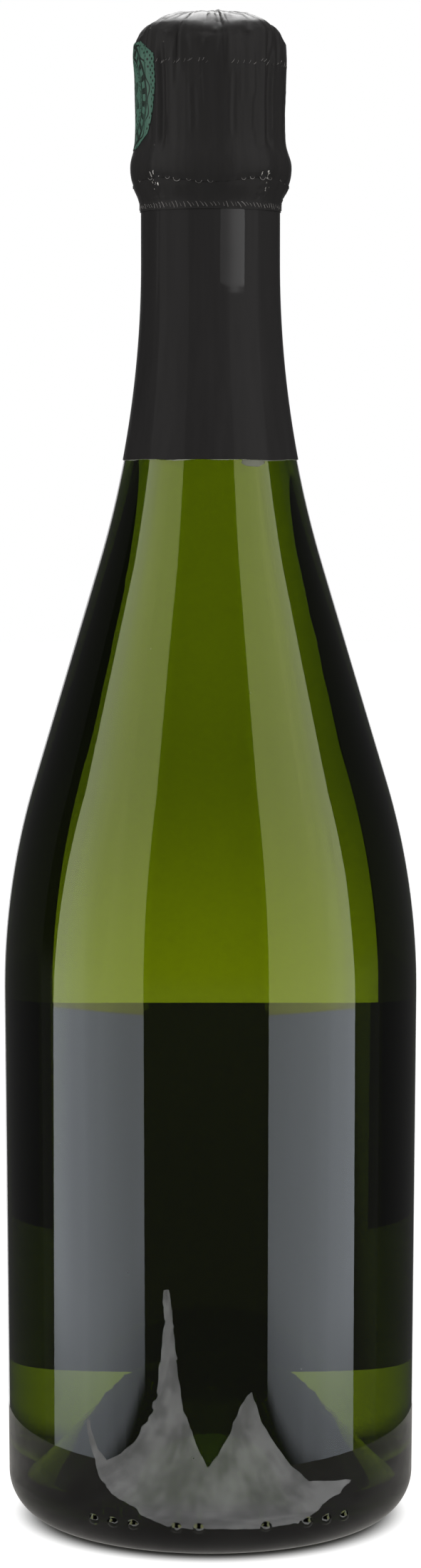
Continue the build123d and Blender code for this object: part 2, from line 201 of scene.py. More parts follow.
@dataclass(frozen=True)
class GlassShape:
    """Sizes of the glass, and the outlines that the other pieces follow."""

    body_radius: float = 44.2 * MM
    foot_radius: float = 43.5 * MM
    heel_radius: float = 10.0 * MM
    shoulder_start: float = 113.0 * MM
    shoulder_radius: float = 155.0 * MM
    cone_angle: float = math.radians(16.7)
    neck_sweep_radius: float = 220.0 * MM
    neck_radius: float = 14.45 * MM
    bearing_width: float = 3.0 * MM
    bearing_radius: float = 4.0 * MM
    punt_flank_angle: float = math.radians(57.5)
    punt_dome_radius: float = 14.0 * MM
    base_thickness: float = 5.0 * MM
    wall_thickness: float = 4.8 * MM
    inner_heel_radius: float = 5.5 * MM
    inner_shoulder_start: float = 111.0 * MM
    bore_radius: float = 8.75 * MM
    groove_radius: float = 13.6 * MM
    groove_length: float = 3.6 * MM
    groove_slope_length: float = 1.3 * MM
    ring_radius: float = 15.1 * MM
    ring_height: float = 4.8 * MM
    recess_radius: float = 12.9 * MM
    recess_height: float = 3.6 * MM
    bead_radius: float = 13.5 * MM
    bead_height: float = 5.5 * MM
    mouth_slope_length: float = 0.9 * MM
    ring_edge_round: float = 1.1 * MM
    bead_edge_round: float = 1.6 * MM
    mouth_edge_round: float = 0.6 * MM
    neck_straight_length: float = 11.3 * MM

    @property
    def heel_centre_radius(self) -> float:
        """Radius at which the heel's arc turns."""
        return self.foot_radius - self.heel_radius

    def flank(self, foot: Point, waist: Point, shoulder: float, sweep: float, top: float) -> list[Point]:
        """Side from its foot to the neck: taper, shoulder arc, cone and neck sweep.

        Args:
            foot: Lower end of the taper.
            waist: Upper end of the taper.
            shoulder: Radius of the shoulder's arc.
            sweep: Radius of the hollow arc under the neck.
            top: Radius of the neck.

        Returns:
            The points from foot to neck.
        """
        cone = self.cone_angle
        lean = -math.atan2(waist[0] - foot[0], waist[1] - foot[1])
        centre = (waist[0] - shoulder * math.cos(lean), waist[1] - shoulder * math.sin(lean))
        shoulder_points = arc_points(centre, shoulder, lean, cone, 26)
        cone_foot = shoulder_points[-1]
        length = (cone_foot[0] - top - sweep * (1 - math.cos(cone))) / math.sin(cone)
        cone_top = (cone_foot[0] - length * math.sin(cone), cone_foot[1] + length * math.cos(cone))
        sweep_centre = (cone_top[0] + sweep * math.cos(cone), cone_top[1] + sweep * math.sin(cone))
        return [foot, *shoulder_points, *arc_points(sweep_centre, -sweep, cone, 0, 26)]

    def outer_flank(self, offset: float = 0.0) -> list[Point]:
        """Outside from the top of the heel to the foot of the neck.

        Args:
            offset: How far it is moved out.

        Returns:
            The points from heel to neck.
        """
        return self.flank(
            (self.foot_radius + offset, self.heel_radius),
            (self.body_radius + offset, self.shoulder_start),
            self.shoulder_radius + offset,
            self.neck_sweep_radius - offset,
            self.neck_radius + offset,
        )

    def inner_flank(self, foot: Point, offset: float = 0.0) -> list[Point]:
        """Inside of the wall.

        Args:
            foot: Foot of the wall.
            offset: How far it is moved out.

        Returns:
            The points from the foot to the bore.
        """
        return self.flank(
            foot,
            (self.body_radius - self.wall_thickness + offset, self.inner_shoulder_start),
            self.shoulder_radius - self.wall_thickness + offset,
            self.neck_sweep_radius + self.wall_thickness - offset,
            self.bore_radius + offset,
        )

    @property
    def neck_foot_height(self) -> float:
        """Height at which the neck becomes straight."""
        return self.outer_flank()[-1][1]

    @property
    def groove_foot_height(self) -> float:
        """Height of the groove under the ring."""
        return self.neck_foot_height + self.neck_straight_length

    @property
    def ring_foot_height(self) -> float:
        """Height of the underside of the ring."""
        return self.groove_foot_height + self.groove_slope_length + self.groove_length

    @property
    def ring_top_height(self) -> float:
        """Height of the top of the ring."""
        return self.ring_foot_height + self.ring_height

    @property
    def recess_top_height(self) -> float:
        """Height at which the recess above the ring ends."""
        return self.ring_top_height + self.mouth_slope_length + self.recess_height

    @property
    def glass_height(self) -> float:
        """Height of the mouth's lip."""
        return self.recess_top_height + self.mouth_slope_length + self.bead_height

    def outer_radius(self, height: float, offset: float = 0.0) -> float:
        """Radius of the outside between heel and groove, moved out by an offset."""
        return radius_at(self.outer_flank(offset), height)

    def mouth(self) -> list[Point]:
        """Outside of the mouth.

        Returns:
            The points from the neck to the bore.
        """
        slope = self.mouth_slope_length
        edge = self.mouth_edge_round
        ring_edge = self.ring_edge_round
        corners = [
            (self.neck_radius, self.neck_foot_height),
            (self.neck_radius, self.groove_foot_height),
            (self.groove_radius, self.groove_foot_height + self.groove_slope_length),
            (self.groove_radius, self.ring_foot_height),
            (self.ring_radius, self.ring_foot_height),
            (self.ring_radius, self.ring_top_height),
            (self.recess_radius, self.ring_top_height + slope),
            (self.recess_radius, self.recess_top_height),
            (self.bead_radius, self.recess_top_height + slope),
            (self.bead_radius, self.glass_height),
            (self.bore_radius, self.glass_height),
            (self.bore_radius, self.recess_top_height),
        ]
        radii = [ring_edge, edge, edge, edge, ring_edge, edge, edge, edge, self.bead_edge_round, edge]
        return rounded_points(corners, radii)

    def punt_points(self) -> tuple[list[Point], Point, Point, Point]:
        """Underside from the apex of the punt to the flat that the bottle stands on.

        Returns:
            The points, the foot of the flank, the centre of the dome, and the direction across the flank.
        """
        flank = self.punt_flank_angle
        across = (math.sin(flank), math.cos(flank))
        centre = (self.heel_centre_radius - self.bearing_width, self.bearing_radius)
        foot = (centre[0] - across[0] * self.bearing_radius, centre[1] - across[1] * self.bearing_radius)
        run = foot[0] - self.punt_dome_radius * across[0]
        top = (foot[0] - run, foot[1] + run * math.tan(flank))
        dome = (0.0, top[1] - across[1] * self.punt_dome_radius)
        quarter = math.pi / 2
        points = arc_points(dome, self.punt_dome_radius, quarter, quarter - flank, 10)
        points += arc_points(centre, -self.bearing_radius, quarter - flank, quarter, 8)
        return points, foot, dome, across

    def floor_points(self, lift: float = 0.0) -> list[Point]:
        """Inside of the base from the foot of the wall to the axis.

        Args:
            lift: How far the line is moved into the glass, for the wine.

        Returns:
            The points, from the wall inwards.
        """
        _, foot, dome, across = self.punt_points()
        thickness = self.base_thickness - lift
        reach = self.punt_dome_radius + thickness
        heel = self.inner_heel_radius + lift
        centre_radius = self.foot_radius - self.wall_thickness - self.inner_heel_radius
        floor_foot = (foot[0] + across[0] * self.base_thickness, foot[1] + across[1] * self.base_thickness)
        lower = (self.inner_heel_radius - (centre_radius - floor_foot[0]) * across[0]) / across[1]
        centre = (centre_radius, floor_foot[1] + lower)
        quarter = math.pi / 2
        flank_turn = -quarter - self.punt_flank_angle
        points = arc_points(centre, heel, 0, flank_turn, 16)
        return points + arc_points(dome, reach, quarter - self.punt_flank_angle, quarter, 10)

    def heel_points(self) -> list[Point]:
        """Heel, with close rows where the mould dots are.

        Returns:
            The points from the standing flat to the foot of the side.
        """
        centre = (self.heel_centre_radius, self.heel_radius)
        turns = [*range(-90, -28, 4), *np.arange(-27, -2, 0.8).tolist(), 0]
        return [arc_points(centre, self.heel_radius, math.radians(t), 0, 1)[0] for t in turns]

    def outline(self) -> list[Point]:
        """Whole outline of the glass.

        Returns:
            The points from the apex of the punt round to the inside of the base.
        """
        floor = self.floor_points()
        outside = [*self.punt_points()[0], *self.heel_points(), *self.outer_flank()[1:], *self.mouth()[1:]]
        return [*outside, *self.inner_flank(floor[0])[::-1], *floor[1:]]


# Meshes


def finish_mesh(mesh: bpy.types.Mesh, sharp_angle: float = 35.0) -> None:
    """Shades a mesh smooth.

    Args:
        mesh: The mesh.
        sharp_angle: Angle past which an edge is sharp, in degrees.
    """
    mesh.polygons.foreach_set("use_smooth", [True] * len(mesh.polygons))
    mesh.set_sharp_from_angle(angle=math.radians(sharp_angle))
    mesh.update()


def add_object(name: str, mesh: bpy.types.Mesh) -> bpy.types.Object:
    """Links a mesh as a new object at the origin.

    Args:
        name: Name of the piece.
        mesh: Its mesh.

    Returns:
        The new object.
    """
    piece = bpy.data.objects.new(name, mesh)
    bpy.context.scene.collection.objects.link(piece)
    return piece


def mesh_object(
    name: str,
    vertices: Iterable[Sequence[float]],
    faces: Iterable[Sequence[int]],
    sharp_angle: float = 35.0,
    outward: bool = True,
) -> bpy.types.Object:
    """Makes an object from points and faces.

    Args:
        name: Name of the piece.
        vertices: Points in metres.
        faces: Corners of each face.
        sharp_angle: Angle past which an edge is sharp, in degrees.
        outward: Whether the normals of a closed mesh are worked out again.

    Returns:
        The new object.
    """
    mesh = bpy.data.meshes.new(name)
    mesh.from_pydata([tuple(v) for v in vertices], [], [tuple(f) for f in faces])
    if outward:
        work = bmesh.new()
        work.from_mesh(mesh)
        bmesh.ops.recalc_face_normals(work, faces=work.faces)
        work.to_mesh(mesh)
        work.free()
    finish_mesh(mesh, sharp_angle)
    return add_object(name, mesh)


def grid_faces(rows: int, columns: int, wrap: bool) -> list[tuple[int, ...]]:
    """Quads of a grid of points in rows.

    Args:
        rows: Number of rows.
        columns: Number of points in a row.
        wrap: Whether the last column joins the first.

    Returns:
        The corners of each face.
    """
    faces = []
    for start in range(0, (rows - 1) * columns, columns):
        for column in range(columns if wrap else columns - 1):
            here, ahead = start + column, start + (column + 1) % columns
            faces.append((here, ahead, ahead + columns, here + columns))
    return faces


def turned_object(
    name: str,
    outline: Sequence[Point],
    turns: Sequence[float],
    bend: Bend | None = None,
    sharp_angle: float = 35.0,
) -> bpy.types.Object:
    """Turns an outline about the axis. An end on the axis becomes a closed pole.

    Args:
        name: Name of the piece.
        outline: Points of radius and height.
        turns: Angles of the columns, in degrees.
        bend: Moves a point, from its angle, radius and height.
        sharp_angle: Angle past which an edge is sharp, in degrees.

    Returns:
        The new object.
    """
    axis_limit = 1e-7
    tip_first = abs(outline[0][0]) < axis_limit
    tip_last = abs(outline[-1][0]) < axis_limit
    rows = outline[1 if tip_first else 0:len(outline) - 1 if tip_last else len(outline)]
    vertices = []
    for radius, height in rows:
        for turn in turns:
            vertices.append(spot(*(bend(turn, radius, height) if bend else (turn, radius, height))))
    count = len(turns)
    faces = grid_faces(len(rows), count, True)
    if tip_first:
        vertices.append((0.0, 0.0, outline[0][1]))
        tip = len(vertices) - 1
        faces += [(tip, (i + 1) % count, i) for i in range(count)]
    if tip_last:
        vertices.append((0.0, 0.0, outline[-1][1]))
        tip = len(vertices) - 1
        last = (len(rows) - 1) * count
        faces += [(tip, last + i, last + (i + 1) % count) for i in range(count)]
    return mesh_object(name, vertices, faces, sharp_angle)


def settle(piece: bpy.types.Object, sharp_angle: float | None = None) -> bpy.types.Object:
    """Turns a piece's evaluated modifiers into a plain mesh and removes them.

    Args:
        piece: The piece.
        sharp_angle: Angle past which an edge is sharp, in degrees, where the mesh is shaded again.

    Returns:
        The piece.
    """
    depsgraph = bpy.context.evaluated_depsgraph_get()
    mesh = bpy.data.meshes.new_from_object(piece.evaluated_get(depsgraph))
    piece.modifiers.clear()
    piece.data = mesh
    if sharp_angle is not None:
        finish_mesh(mesh, sharp_angle)
    return piece


def face_out(sheet: bpy.types.Object) -> None:
    """Turns an open sheet's faces away from the axis.

    Args:
        sheet: The sheet.
    """
    face = sheet.data.polygons[-1]
    if face.normal.dot(Vector((*face.center.xy, 0.0))) < 0:
        sheet.data.flip_normals()


def thicken(sheet: bpy.types.Object, thickness: float) -> None:
    """Gives an open sheet its thickness, inwards, and settles it.

    Args:
        sheet: The sheet, whose faces point outwards.
        thickness: Its thickness.
    """
    solidify = sheet.modifiers.new("Thickness", "SOLIDIFY")
    solidify.thickness = thickness
    solidify.offset = -1.0
    settle(sheet, 50)


def sheet_object(
    name: str,
    vertices: Sequence[Vector],
    columns: int,
    thickness: float,
    wrap: bool = False,
    places: Sequence[Point] | None = None,
) -> bpy.types.Object:
    """Makes a thin sheet from a grid of points in rows.

    Args:
        name: Name of the piece.
        vertices: Points of its outer face, row by row.
        columns: Number of points in a row.
        thickness: Its thickness, inwards.
        wrap: Whether the last column joins the first.
        places: Place of each point on the flat paper, for its texture.

    Returns:
        The new object.
    """
    faces = grid_faces(len(vertices) // columns, columns, wrap)
    sheet = mesh_object(name, vertices, faces, 50, False)
    if places:
        layer = sheet.data.uv_layers.new(name="paper")
        for loop in sheet.data.loops:
            layer.data[loop.index].uv = places[loop.vertex_index]
    face_out(sheet)
    thicken(sheet, thickness)
    return sheet


def points_object(name: str, points: Sequence[Vector]) -> bpy.types.Object:
    """Makes an object of bare points.

    Args:
        name: Name of the piece.
        points: Its places.

    Returns:
        The new object.
    """
    mesh = bpy.data.meshes.new(name)
    mesh.from_pydata([tuple(p) for p in points], [], [])
    return add_object(name, mesh)


# Node trees


Socket = bpy.types.NodeSocket
FLOAT = "NodeSocketFloat"
VECTOR = "NodeSocketVector"
COUNT = "NodeSocketInt"


class Tree:
    """Short way to add and join the nodes of a shader or geometry tree."""

    def __init__(self, tree: bpy.types.NodeTree) -> None:
        """Keeps the tree that the nodes go into."""
        self.tree = tree

    def add(self, kind: str, inputs: dict[Any, Any] | None = None, **settings: Any) -> bpy.types.Node:
        """Adds a node.

        Args:
            kind: The node's type name.
            inputs: Value or output socket for each input, by name or number.
            settings: Attributes of the node.

        Returns:
            The new node.
        """
        node = self.tree.nodes.new(kind)
        for name, value in settings.items():
            setattr(node, name, value)
        self.set(node, inputs or {})
        return node

    def set(self, node: bpy.types.Node, inputs: dict[Any, Any]) -> None:
        """Feeds several inputs of a node, by name or number."""
        for key, value in inputs.items():
            self.feed(node.inputs[key], value)

    def feed(self, socket: Socket, value: Any) -> None:
        """Joins an output to an input, or sets the input's own value.

        Args:
            socket: The input.
            value: An output, a node, whose first output is meant, or a plain value.
        """
        if isinstance(value, bpy.types.Node):
            value = value.outputs[0]
        if isinstance(value, Socket):
            self.tree.links.new(value, socket)
        elif isinstance(value, tuple) and len(value) == 3 and socket.type == "RGBA":
            socket.default_value = (*value, 1.0)
        else:
            socket.default_value = value

    def math(self, operation: str, *values: Any) -> Socket:
        """Output of a math node on up to three values."""
        return self.add("ShaderNodeMath", dict(enumerate(values)), operation=operation).outputs[0]

    def plus(self, first: Any, second: Any) -> Socket:
        """Sum of two values."""
        return self.math("ADD", first, second)

    def minus(self, first: Any, second: Any) -> Socket:
        """First value less the second."""
        return self.math("SUBTRACT", first, second)

    def times(self, first: Any, second: Any) -> Socket:
        """Product of two values."""
        return self.math("MULTIPLY", first, second)

    def over(self, first: Any, second: Any) -> Socket:
        """First value divided by the second."""
        return self.math("DIVIDE", first, second)

    def scaled(self, value: Any, factor: Any, offset: Any) -> Socket:
        """A value times a factor, plus an offset."""
        return self.math("MULTIPLY_ADD", value, factor, offset)

    def most(self, first: Any, second: Any) -> Socket:
        """The greater of two values."""
        return self.math("MAXIMUM", first, second)

    def above(self, value: Any, limit: Any) -> Socket:
        """1 where a value is above a limit."""
        return self.math("GREATER_THAN", value, limit)

    def below(self, value: Any, limit: Any) -> Socket:
        """1 where a value is below a limit."""
        return self.math("LESS_THAN", value, limit)

    def size(self, value: Any) -> Socket:
        """A value without its sign."""
        return self.math("ABSOLUTE", value)

    def sine(self, value: Any) -> Socket:
        """Sine of a value."""
        return self.math("SINE", value)

    def angle(self, up: Any, across: Any) -> Socket:
        """Angle of a direction, in radians."""
        return self.math("ARCTAN2", up, across)

    def length(self, across: Any, up: Any) -> Socket:
        """Length of the long side over two sides at a right angle."""
        return self.math("SQRT", self.plus(self.math("POWER", across, 2.0), self.math("POWER", up, 2.0)))

    def band(self, value: Any, centre: Any, half_width: Any) -> Socket:
        """1 where a value lies within a half width of a centre."""
        return self.below(self.size(self.minus(value, centre)), half_width)

    def vector(self, operation: str, *values: Any) -> Socket:
        """Vector output of a vector math node."""
        return self.add("ShaderNodeVectorMath", dict(enumerate(values)), operation=operation).outputs[0]

    def stretch(self, vector: Any, factor: Any) -> Socket:
        """A vector or colour times a number."""
        return self.add("ShaderNodeVectorMath", {0: vector, "Scale": factor}, operation="SCALE").outputs[0]

    def split(self, vector: Any) -> bpy.types.NodeOutputs:
        """The three parts of a vector."""
        return self.add("ShaderNodeSeparateXYZ", {0: vector}).outputs

    def mix(self, share: Any, first: Any, second: Any) -> Socket:
        """Colour between two colours."""
        return self.add("ShaderNodeMix", {0: share, 6: first, 7: second}, data_type="RGBA").outputs[2]

    def ramp(self, value: Any, low: Any, high: Any, start: float = 0.0, end: float = 1.0) -> Socket:
        """Maps a value between two limits, smoothly, to a start and an end."""
        values = {0: value, 1: low, 2: high, 3: start, 4: end}
        return self.add("ShaderNodeMapRange", values, interpolation_type="SMOOTHSTEP").outputs[0]

    def noise(self, where: Any, scale: Any, detail: float = 3.0, roughness: float = 0.5) -> Socket:
        """Noise between 0 and 1 at a place."""
        values = {"Vector": where, "Scale": scale, "Detail": detail, "Roughness": roughness}
        return self.add("ShaderNodeTexNoise", values).outputs[0]

    def drift(self, where: Any, scale: float, reach: float, base: Any) -> Socket:
        """A base place moved by up to a reach, by the noise at another place."""
        shift = self.add("ShaderNodeTexNoise", {"Vector": where, "Scale": scale}).outputs["Color"]
        return self.vector("MULTIPLY_ADD", shift, (reach,) * 3, base)


def socket_in(tree: bpy.types.NodeTree, name: str, kind: str, default: Any = None) -> None:
    """Adds a named input to a group.

    Args:
        tree: The group.
        name: Name of the input.
        kind: Its socket type.
        default: Its default, where it has one.
    """
    socket = tree.interface.new_socket(name=name, in_out="INPUT", socket_type=kind)
    if default is not None:
        socket.default_value = default


class Effect(Tree):
    """Shared surface effect: a group that reads a place and a few sizes and puts out values."""

    def __init__(self, name: str, sizes: dict[str, float], outputs: Sequence[str]) -> None:
        """Starts the group.

        Args:
            name: Name of the group.
            sizes: Default of each number that goes in.
            outputs: Names of the values that come out.
        """
        super().__init__(bpy.data.node_groups.new(name, "ShaderNodeTree"))
        socket_in(self.tree, "Place", VECTOR)
        for size, default in sizes.items():
            socket_in(self.tree, size, FLOAT, default)
        for output in outputs:
            self.tree.interface.new_socket(name=output, in_out="OUTPUT", socket_type=FLOAT)
        self.given = self.add("NodeGroupInput").outputs

    def close(self, values: dict[str, Any]) -> bpy.types.NodeTree:
        """Feeds the outputs and gives the group."""
        self.set(self.add("NodeGroupOutput"), values)
        return self.tree


class SurfaceGroups:
    """Shared surface effects, each built once as a group that puts out only masks and heights."""

    @staticmethod
    @cache
    def dust() -> bpy.types.NodeTree:
        """Small sparse specks, as of dust.

        Returns:
            The group, which puts out the mask of the specks.
        """
        tree = Effect("Dust", {"Spacing": 5 * MM, "Speck": 0.06, "Share": 0.3}, ["Mask"])
        place = tree.vector("DIVIDE", tree.given["Place"], tree.given["Spacing"])
        cells = tree.add("ShaderNodeTexVoronoi", {"Vector": place, "Scale": 1.0})
        near = tree.below(cells.outputs["Distance"], tree.given["Speck"])
        return tree.close({"Mask": tree.times(near, tree.below(cells.outputs["Color"], tree.given["Share"]))})

    @staticmethod
    @cache
    def streaks() -> bpy.types.NodeTree:
        """Soft streaks along the axis of the bottle.

        Returns:
            The group, which puts out a value from 0 to 1.
        """
        tree = Effect("Streaks", {"Across": 900.0, "Along": 30.0}, ["Value"])
        across, along = tree.given["Across"], tree.given["Along"]
        reach = tree.add("ShaderNodeCombineXYZ", {0: across, 1: across, 2: along})
        stretched = tree.vector("MULTIPLY", tree.given["Place"], reach)
        return tree.close({"Value": tree.noise(stretched, 1.0, 4.0, 0.6)})

    @staticmethod
    @cache
    def grain() -> bpy.types.NodeTree:
        """Fine even grain with slow blotches.

        Returns:
            The group, which puts out a height and a slow value.
        """
        tree = Effect("Grain", {"Fine": 2500.0, "Slow": 120.0}, ["Height", "Slow"])
        place = tree.given["Place"]
        fine = tree.noise(place, tree.given["Fine"], 2.0, 0.6)
        return tree.close({"Height": fine, "Slow": tree.noise(place, tree.given["Slow"], 4.0, 0.55)})

    @staticmethod
    @cache
    def crackle() -> bpy.types.NodeTree:
        """Broken fine lines of cracked lacquer in a band of heights round four legs.

        Returns:
            The group, which puts out the mask of the lines.
        """
        sizes = {"Middle": 284.7 * MM, "Half Height": 2.4 * MM, "Size": 1.25 * MM, "Width": 0.07}
        tree = Effect("Crackle", sizes, ["Mask"])
        place = tree.given["Place"]
        x, y, z = tree.split(place)
        near_leg = tree.times(tree.math("COSINE", tree.times(tree.angle(y, x), 4.0)), -1.0)
        level = tree.over(tree.size(tree.minus(z, tree.given["Middle"])), tree.given["Half Height"])
        zone = tree.times(tree.ramp(near_leg, 0.9, 0.995), tree.ramp(level, 1.0, 0.6))
        bent = tree.drift(place, 600.0, 1.0 * MM, tree.vector("MULTIPLY", place, (1.0, 1.0, 0.36)))
        cell = {"Vector": bent, "Scale": tree.over(1.0, tree.given["Size"])}
        edges = tree.add("ShaderNodeTexVoronoi", cell, feature="DISTANCE_TO_EDGE").outputs["Distance"]
        scattered = tree.above(tree.noise(place, 700.0, 2.0), 0.57)
        broken = tree.times(tree.below(edges, tree.given["Width"]), scattered)
        return tree.close({"Mask": tree.times(broken, tree.above(zone, 0.25))})

    @staticmethod
    @cache
    def edge_wear() -> bpy.types.NodeTree:
        """Sharp outer edges, broken up by noise.

        Returns:
            The group, which puts out the mask of the edges.
        """
        tree = Effect("Edge wear", {"From": 0.56, "To": 0.66}, ["Mask"])
        pointed = tree.add("ShaderNodeNewGeometry").outputs["Pointiness"]
        broken = tree.times(tree.minus(tree.noise(tree.given["Place"], 900.0, 3.0, 0.6), 0.5), 0.12)
        worn = tree.ramp(tree.plus(pointed, broken), tree.given["From"], tree.given["To"])
        return tree.close({"Mask": worn})


class Paint(Tree):
    """Nodes of a new material with one Principled BSDF."""

    def __init__(self, name: str) -> None:
        """Starts the material.

        Args:
            name: Name of the material.
        """
        self.material = bpy.data.materials.new(name)
        self.material.use_nodes = True
        super().__init__(self.material.node_tree)
        self.shader = self.tree.nodes["Principled BSDF"]

    def place(self) -> Socket:
        """Object coordinates, which stay on the piece."""
        return self.add("ShaderNodeTexCoord").outputs["Object"]

    def dress(self, values: dict[str, Any]) -> None:
        """Feeds inputs of the Principled BSDF."""
        self.set(self.shader, values)

    def bump(self, height: Any, strength: float, distance: float) -> None:
        """Raises the surface by a height."""
        values = {"Strength": strength, "Distance": distance, "Height": height}
        self.dress({"Normal": self.add("ShaderNodeBump", values)})

    def group(self, group: bpy.types.NodeTree, inputs: dict[str, Any]) -> bpy.types.Node:
        """Places a shared group."""
        return self.add("ShaderNodeGroup", inputs, node_tree=group)

    def grain(self, place: Any, fine: float, slow: float) -> bpy.types.NodeOutputs:
        """Height and slow value of the shared grain at two scales."""
        return self.group(SurfaceGroups.grain(), {"Place": place, "Fine": fine, "Slow": slow}).outputs


# Finishes


WHITE: Colour = (1.0, 1.0, 1.0)


def shade(colour: Colour, factor: float) -> Colour:
    """A colour made darker or lighter by a factor."""
    return tuple(part * factor for part in colour)


@dataclass(frozen=True)
class Finish:
    """One look. Each kind of finish lays its own nodes."""

    name: str

    def material(self) -> bpy.types.Material:
        """Builds the material.

        Returns:
            The material, with the finish's nodes.
        """
        paint = Paint(self.name)
        self.lay(paint)
        return paint.material

    def lay(self, paint: Paint) -> None:
        """Lays the finish's nodes into its material."""
        raise NotImplementedError


@dataclass(frozen=True)
class ClearFinish(Finish):
    """A clear body that takes its colour from its depth: glass or wine."""

    ior: float
    depth_colour: Colour
    depth_density: float
    wave_height: float = 0.0
    wave_scale: float = 85.0
    dust_share: float = 0.0
    dust_spacing: float = 9 * MM
    dust_speck: float = 0.022
    thick_tint: float = 1.0
    thick_above: tuple[float, float] = (118 * MM, 150 * MM)
    thick_below: tuple[float, float] = (40 * MM, 30 * MM)

    def lay(self, paint: Paint) -> None:
        """Lays a clear surface and its depth, with a tint where it is thick, waves and dust.

        Args:
            paint: The material's nodes.
        """
        place = paint.place()
        paint.dress({"Base Color": WHITE, "IOR": self.ior, "Transmission Weight": 1.0, "Roughness": 0.0})
        depth = {"Color": self.depth_colour, "Density": self.depth_density}
        volume = paint.add("ShaderNodeVolumeAbsorption", depth)
        paint.set(paint.tree.nodes["Material Output"], {"Volume": volume})
        if self.thick_tint < 1:
            height = paint.split(place)[2]
            thick = paint.most(paint.ramp(height, *self.thick_above), paint.ramp(height, *self.thick_below))
            paint.dress({"Base Color": paint.mix(thick, WHITE, shade(WHITE, self.thick_tint))})
        if self.wave_height:
            waves = paint.noise(paint.vector("MULTIPLY", place, (1.0, 1.0, 0.3)), self.wave_scale, 2.0, 0.4)
            paint.bump(waves, 1.0, self.wave_height)
        if self.dust_share:
            sizes = {"Place": place, "Spacing": self.dust_spacing, "Speck": self.dust_speck}
            paint.dress({"Roughness": paint.times(paint.group(SurfaceGroups.dust(), sizes), self.dust_share)})


@dataclass(frozen=True)
class FoilFinish(Finish):
    """Lacquered capsule foil with soft streaks, fine grain and bare metal at its sharpest creases; where set,
    its top is glossier and painted paler as a highlight.
    """

    colour: Colour
    # colour of bare metal at creases, and of the painted highlight on the top
    bare_metal_and_highlight_colour: Colour = (0.8, 0.78, 0.74)
    roughness: float = 0.5
    shine: float = 0.12
    coat: float = 0.07
    coat_roughness: float = 0.04
    grain_height: float = 0.012 * MM
    grain_scales: tuple[float, float] = (2200.0, 160.0)
    streak_scales: tuple[float, float] = (420.0, 18.0)
    streak_tones: tuple[float, float] = (0.5, 0.75)
    roughness_spread: float = 0.16
    worn: bool = True
    wear_from: float = 0.64
    wear_to: float = 0.8
    gloss_and_highlight_from: float = 0.0
    rubbed_reach: float = 1.9 * MM
    rubbed_smoother: float = 0.24
    rubbed_shine: float = 0.88
    # height and share over which the painted highlight mixes the top towards the pale colour
    top_highlight_reach: float = 2.4 * MM
    top_highlight_share: float = 0.1

    def lay(self, paint: Paint) -> None:
        """Lays streaked lacquer with grain, bare where it is creased, and glossier above a height, where a
        painted highlight also makes it paler.

        Args:
            paint: The material's nodes.
        """
        place = paint.place()
        height = paint.split(place)[2]
        grain = paint.grain(place, *self.grain_scales)
        across, along = self.streak_scales
        streaks = paint.group(SurfaceGroups.streaks(), {"Place": place, "Across": across, "Along": along})
        colour = paint.stretch(self.colour, paint.scaled(streaks, *self.streak_tones))
        if self.worn:
            limits = {"Place": place, "From": self.wear_from, "To": self.wear_to}
            wear = paint.group(SurfaceGroups.edge_wear(), limits)
            bare = paint.most(wear, paint.group(SurfaceGroups.crackle(), {"Place": place}))
            paint.dress({"Metallic": bare})
            # painted highlight: from this height up, the lacquer's colour is mixed a little with the pale
            # colour, so the top looks lit
            if self.gloss_and_highlight_from:
                top = self.gloss_and_highlight_from + self.top_highlight_reach
                bare = paint.most(bare, paint.ramp(height, self.gloss_and_highlight_from, top, 0.0, self.top_highlight_share))
            colour = paint.mix(bare, colour, self.bare_metal_and_highlight_colour)
        spread = self.roughness_spread
        rough, shine = paint.scaled(grain["Slow"], spread, self.roughness - spread / 2), self.shine
        if self.gloss_and_highlight_from:
            rubbed = paint.ramp(height, self.gloss_and_highlight_from, self.gloss_and_highlight_from + self.rubbed_reach)
            rough = paint.scaled(rubbed, -self.rubbed_smoother, rough)
            shine = paint.scaled(rubbed, self.rubbed_shine, self.shine)
        paint.dress({"Base Color": colour, "Roughness": rough, "Specular IOR Level": shine})
        paint.dress({"Coat Weight": self.coat, "Coat Roughness": self.coat_roughness})
        paint.bump(grain["Height"], 0.6, self.grain_height)


@dataclass(frozen=True)
class MetalFinish(Finish):
    """Bare metal with fine scratches."""

    colour: Colour
    roughness: float
    scratch_depth: float = 0.01 * MM
    grain_scales: tuple[float, float] = (1800.0, 300.0)
    dark_share: float = 0.72
    roughness_spread: float = 0.25
    roughness_drop: float = 0.12

    def lay(self, paint: Paint) -> None:
        """Lays mottled metal with a fine grain.

        Args:
            paint: The material's nodes.
        """
        grain = paint.grain(paint.place(), *self.grain_scales)
        tone = paint.mix(grain["Slow"], shade(self.colour, self.dark_share), self.colour)
        rough = paint.scaled(grain["Slow"], self.roughness_spread, self.roughness - self.roughness_drop)
        paint.dress({"Base Color": tone, "Metallic": 1.0, "Roughness": rough})
        paint.bump(grain["Height"], 0.5, self.scratch_depth)


@dataclass(frozen=True)
class PaperFinish(Finish):
    """Uncoated paper with a fine laid grain."""

    colour: Colour
    roughness: float = 0.62
    laid_pitch: float = 0.7 * MM
    laid_share: float = 0.12
    grain_height: float = 0.03 * MM
    grain_scales: tuple[float, float] = (1500.0, 60.0)
    mottle: tuple[float, float] = (0.8, 1.25)

    def lay(self, paint: Paint) -> None:
        """Lays mottled paper with level laid lines.

        Args:
            paint: The material's nodes.
        """
        place = paint.place()
        grain = paint.grain(place, *self.grain_scales)
        tone = paint.mix(grain["Slow"], *(shade(self.colour, part) for part in self.mottle))
        paint.dress({"Base Color": tone, "Roughness": self.roughness})
        laid = paint.sine(paint.times(paint.split(place)[2], 2 * math.pi / self.laid_pitch))
        paint.bump(paint.scaled(laid, self.laid_share, grain["Height"]), 0.5, self.grain_height)


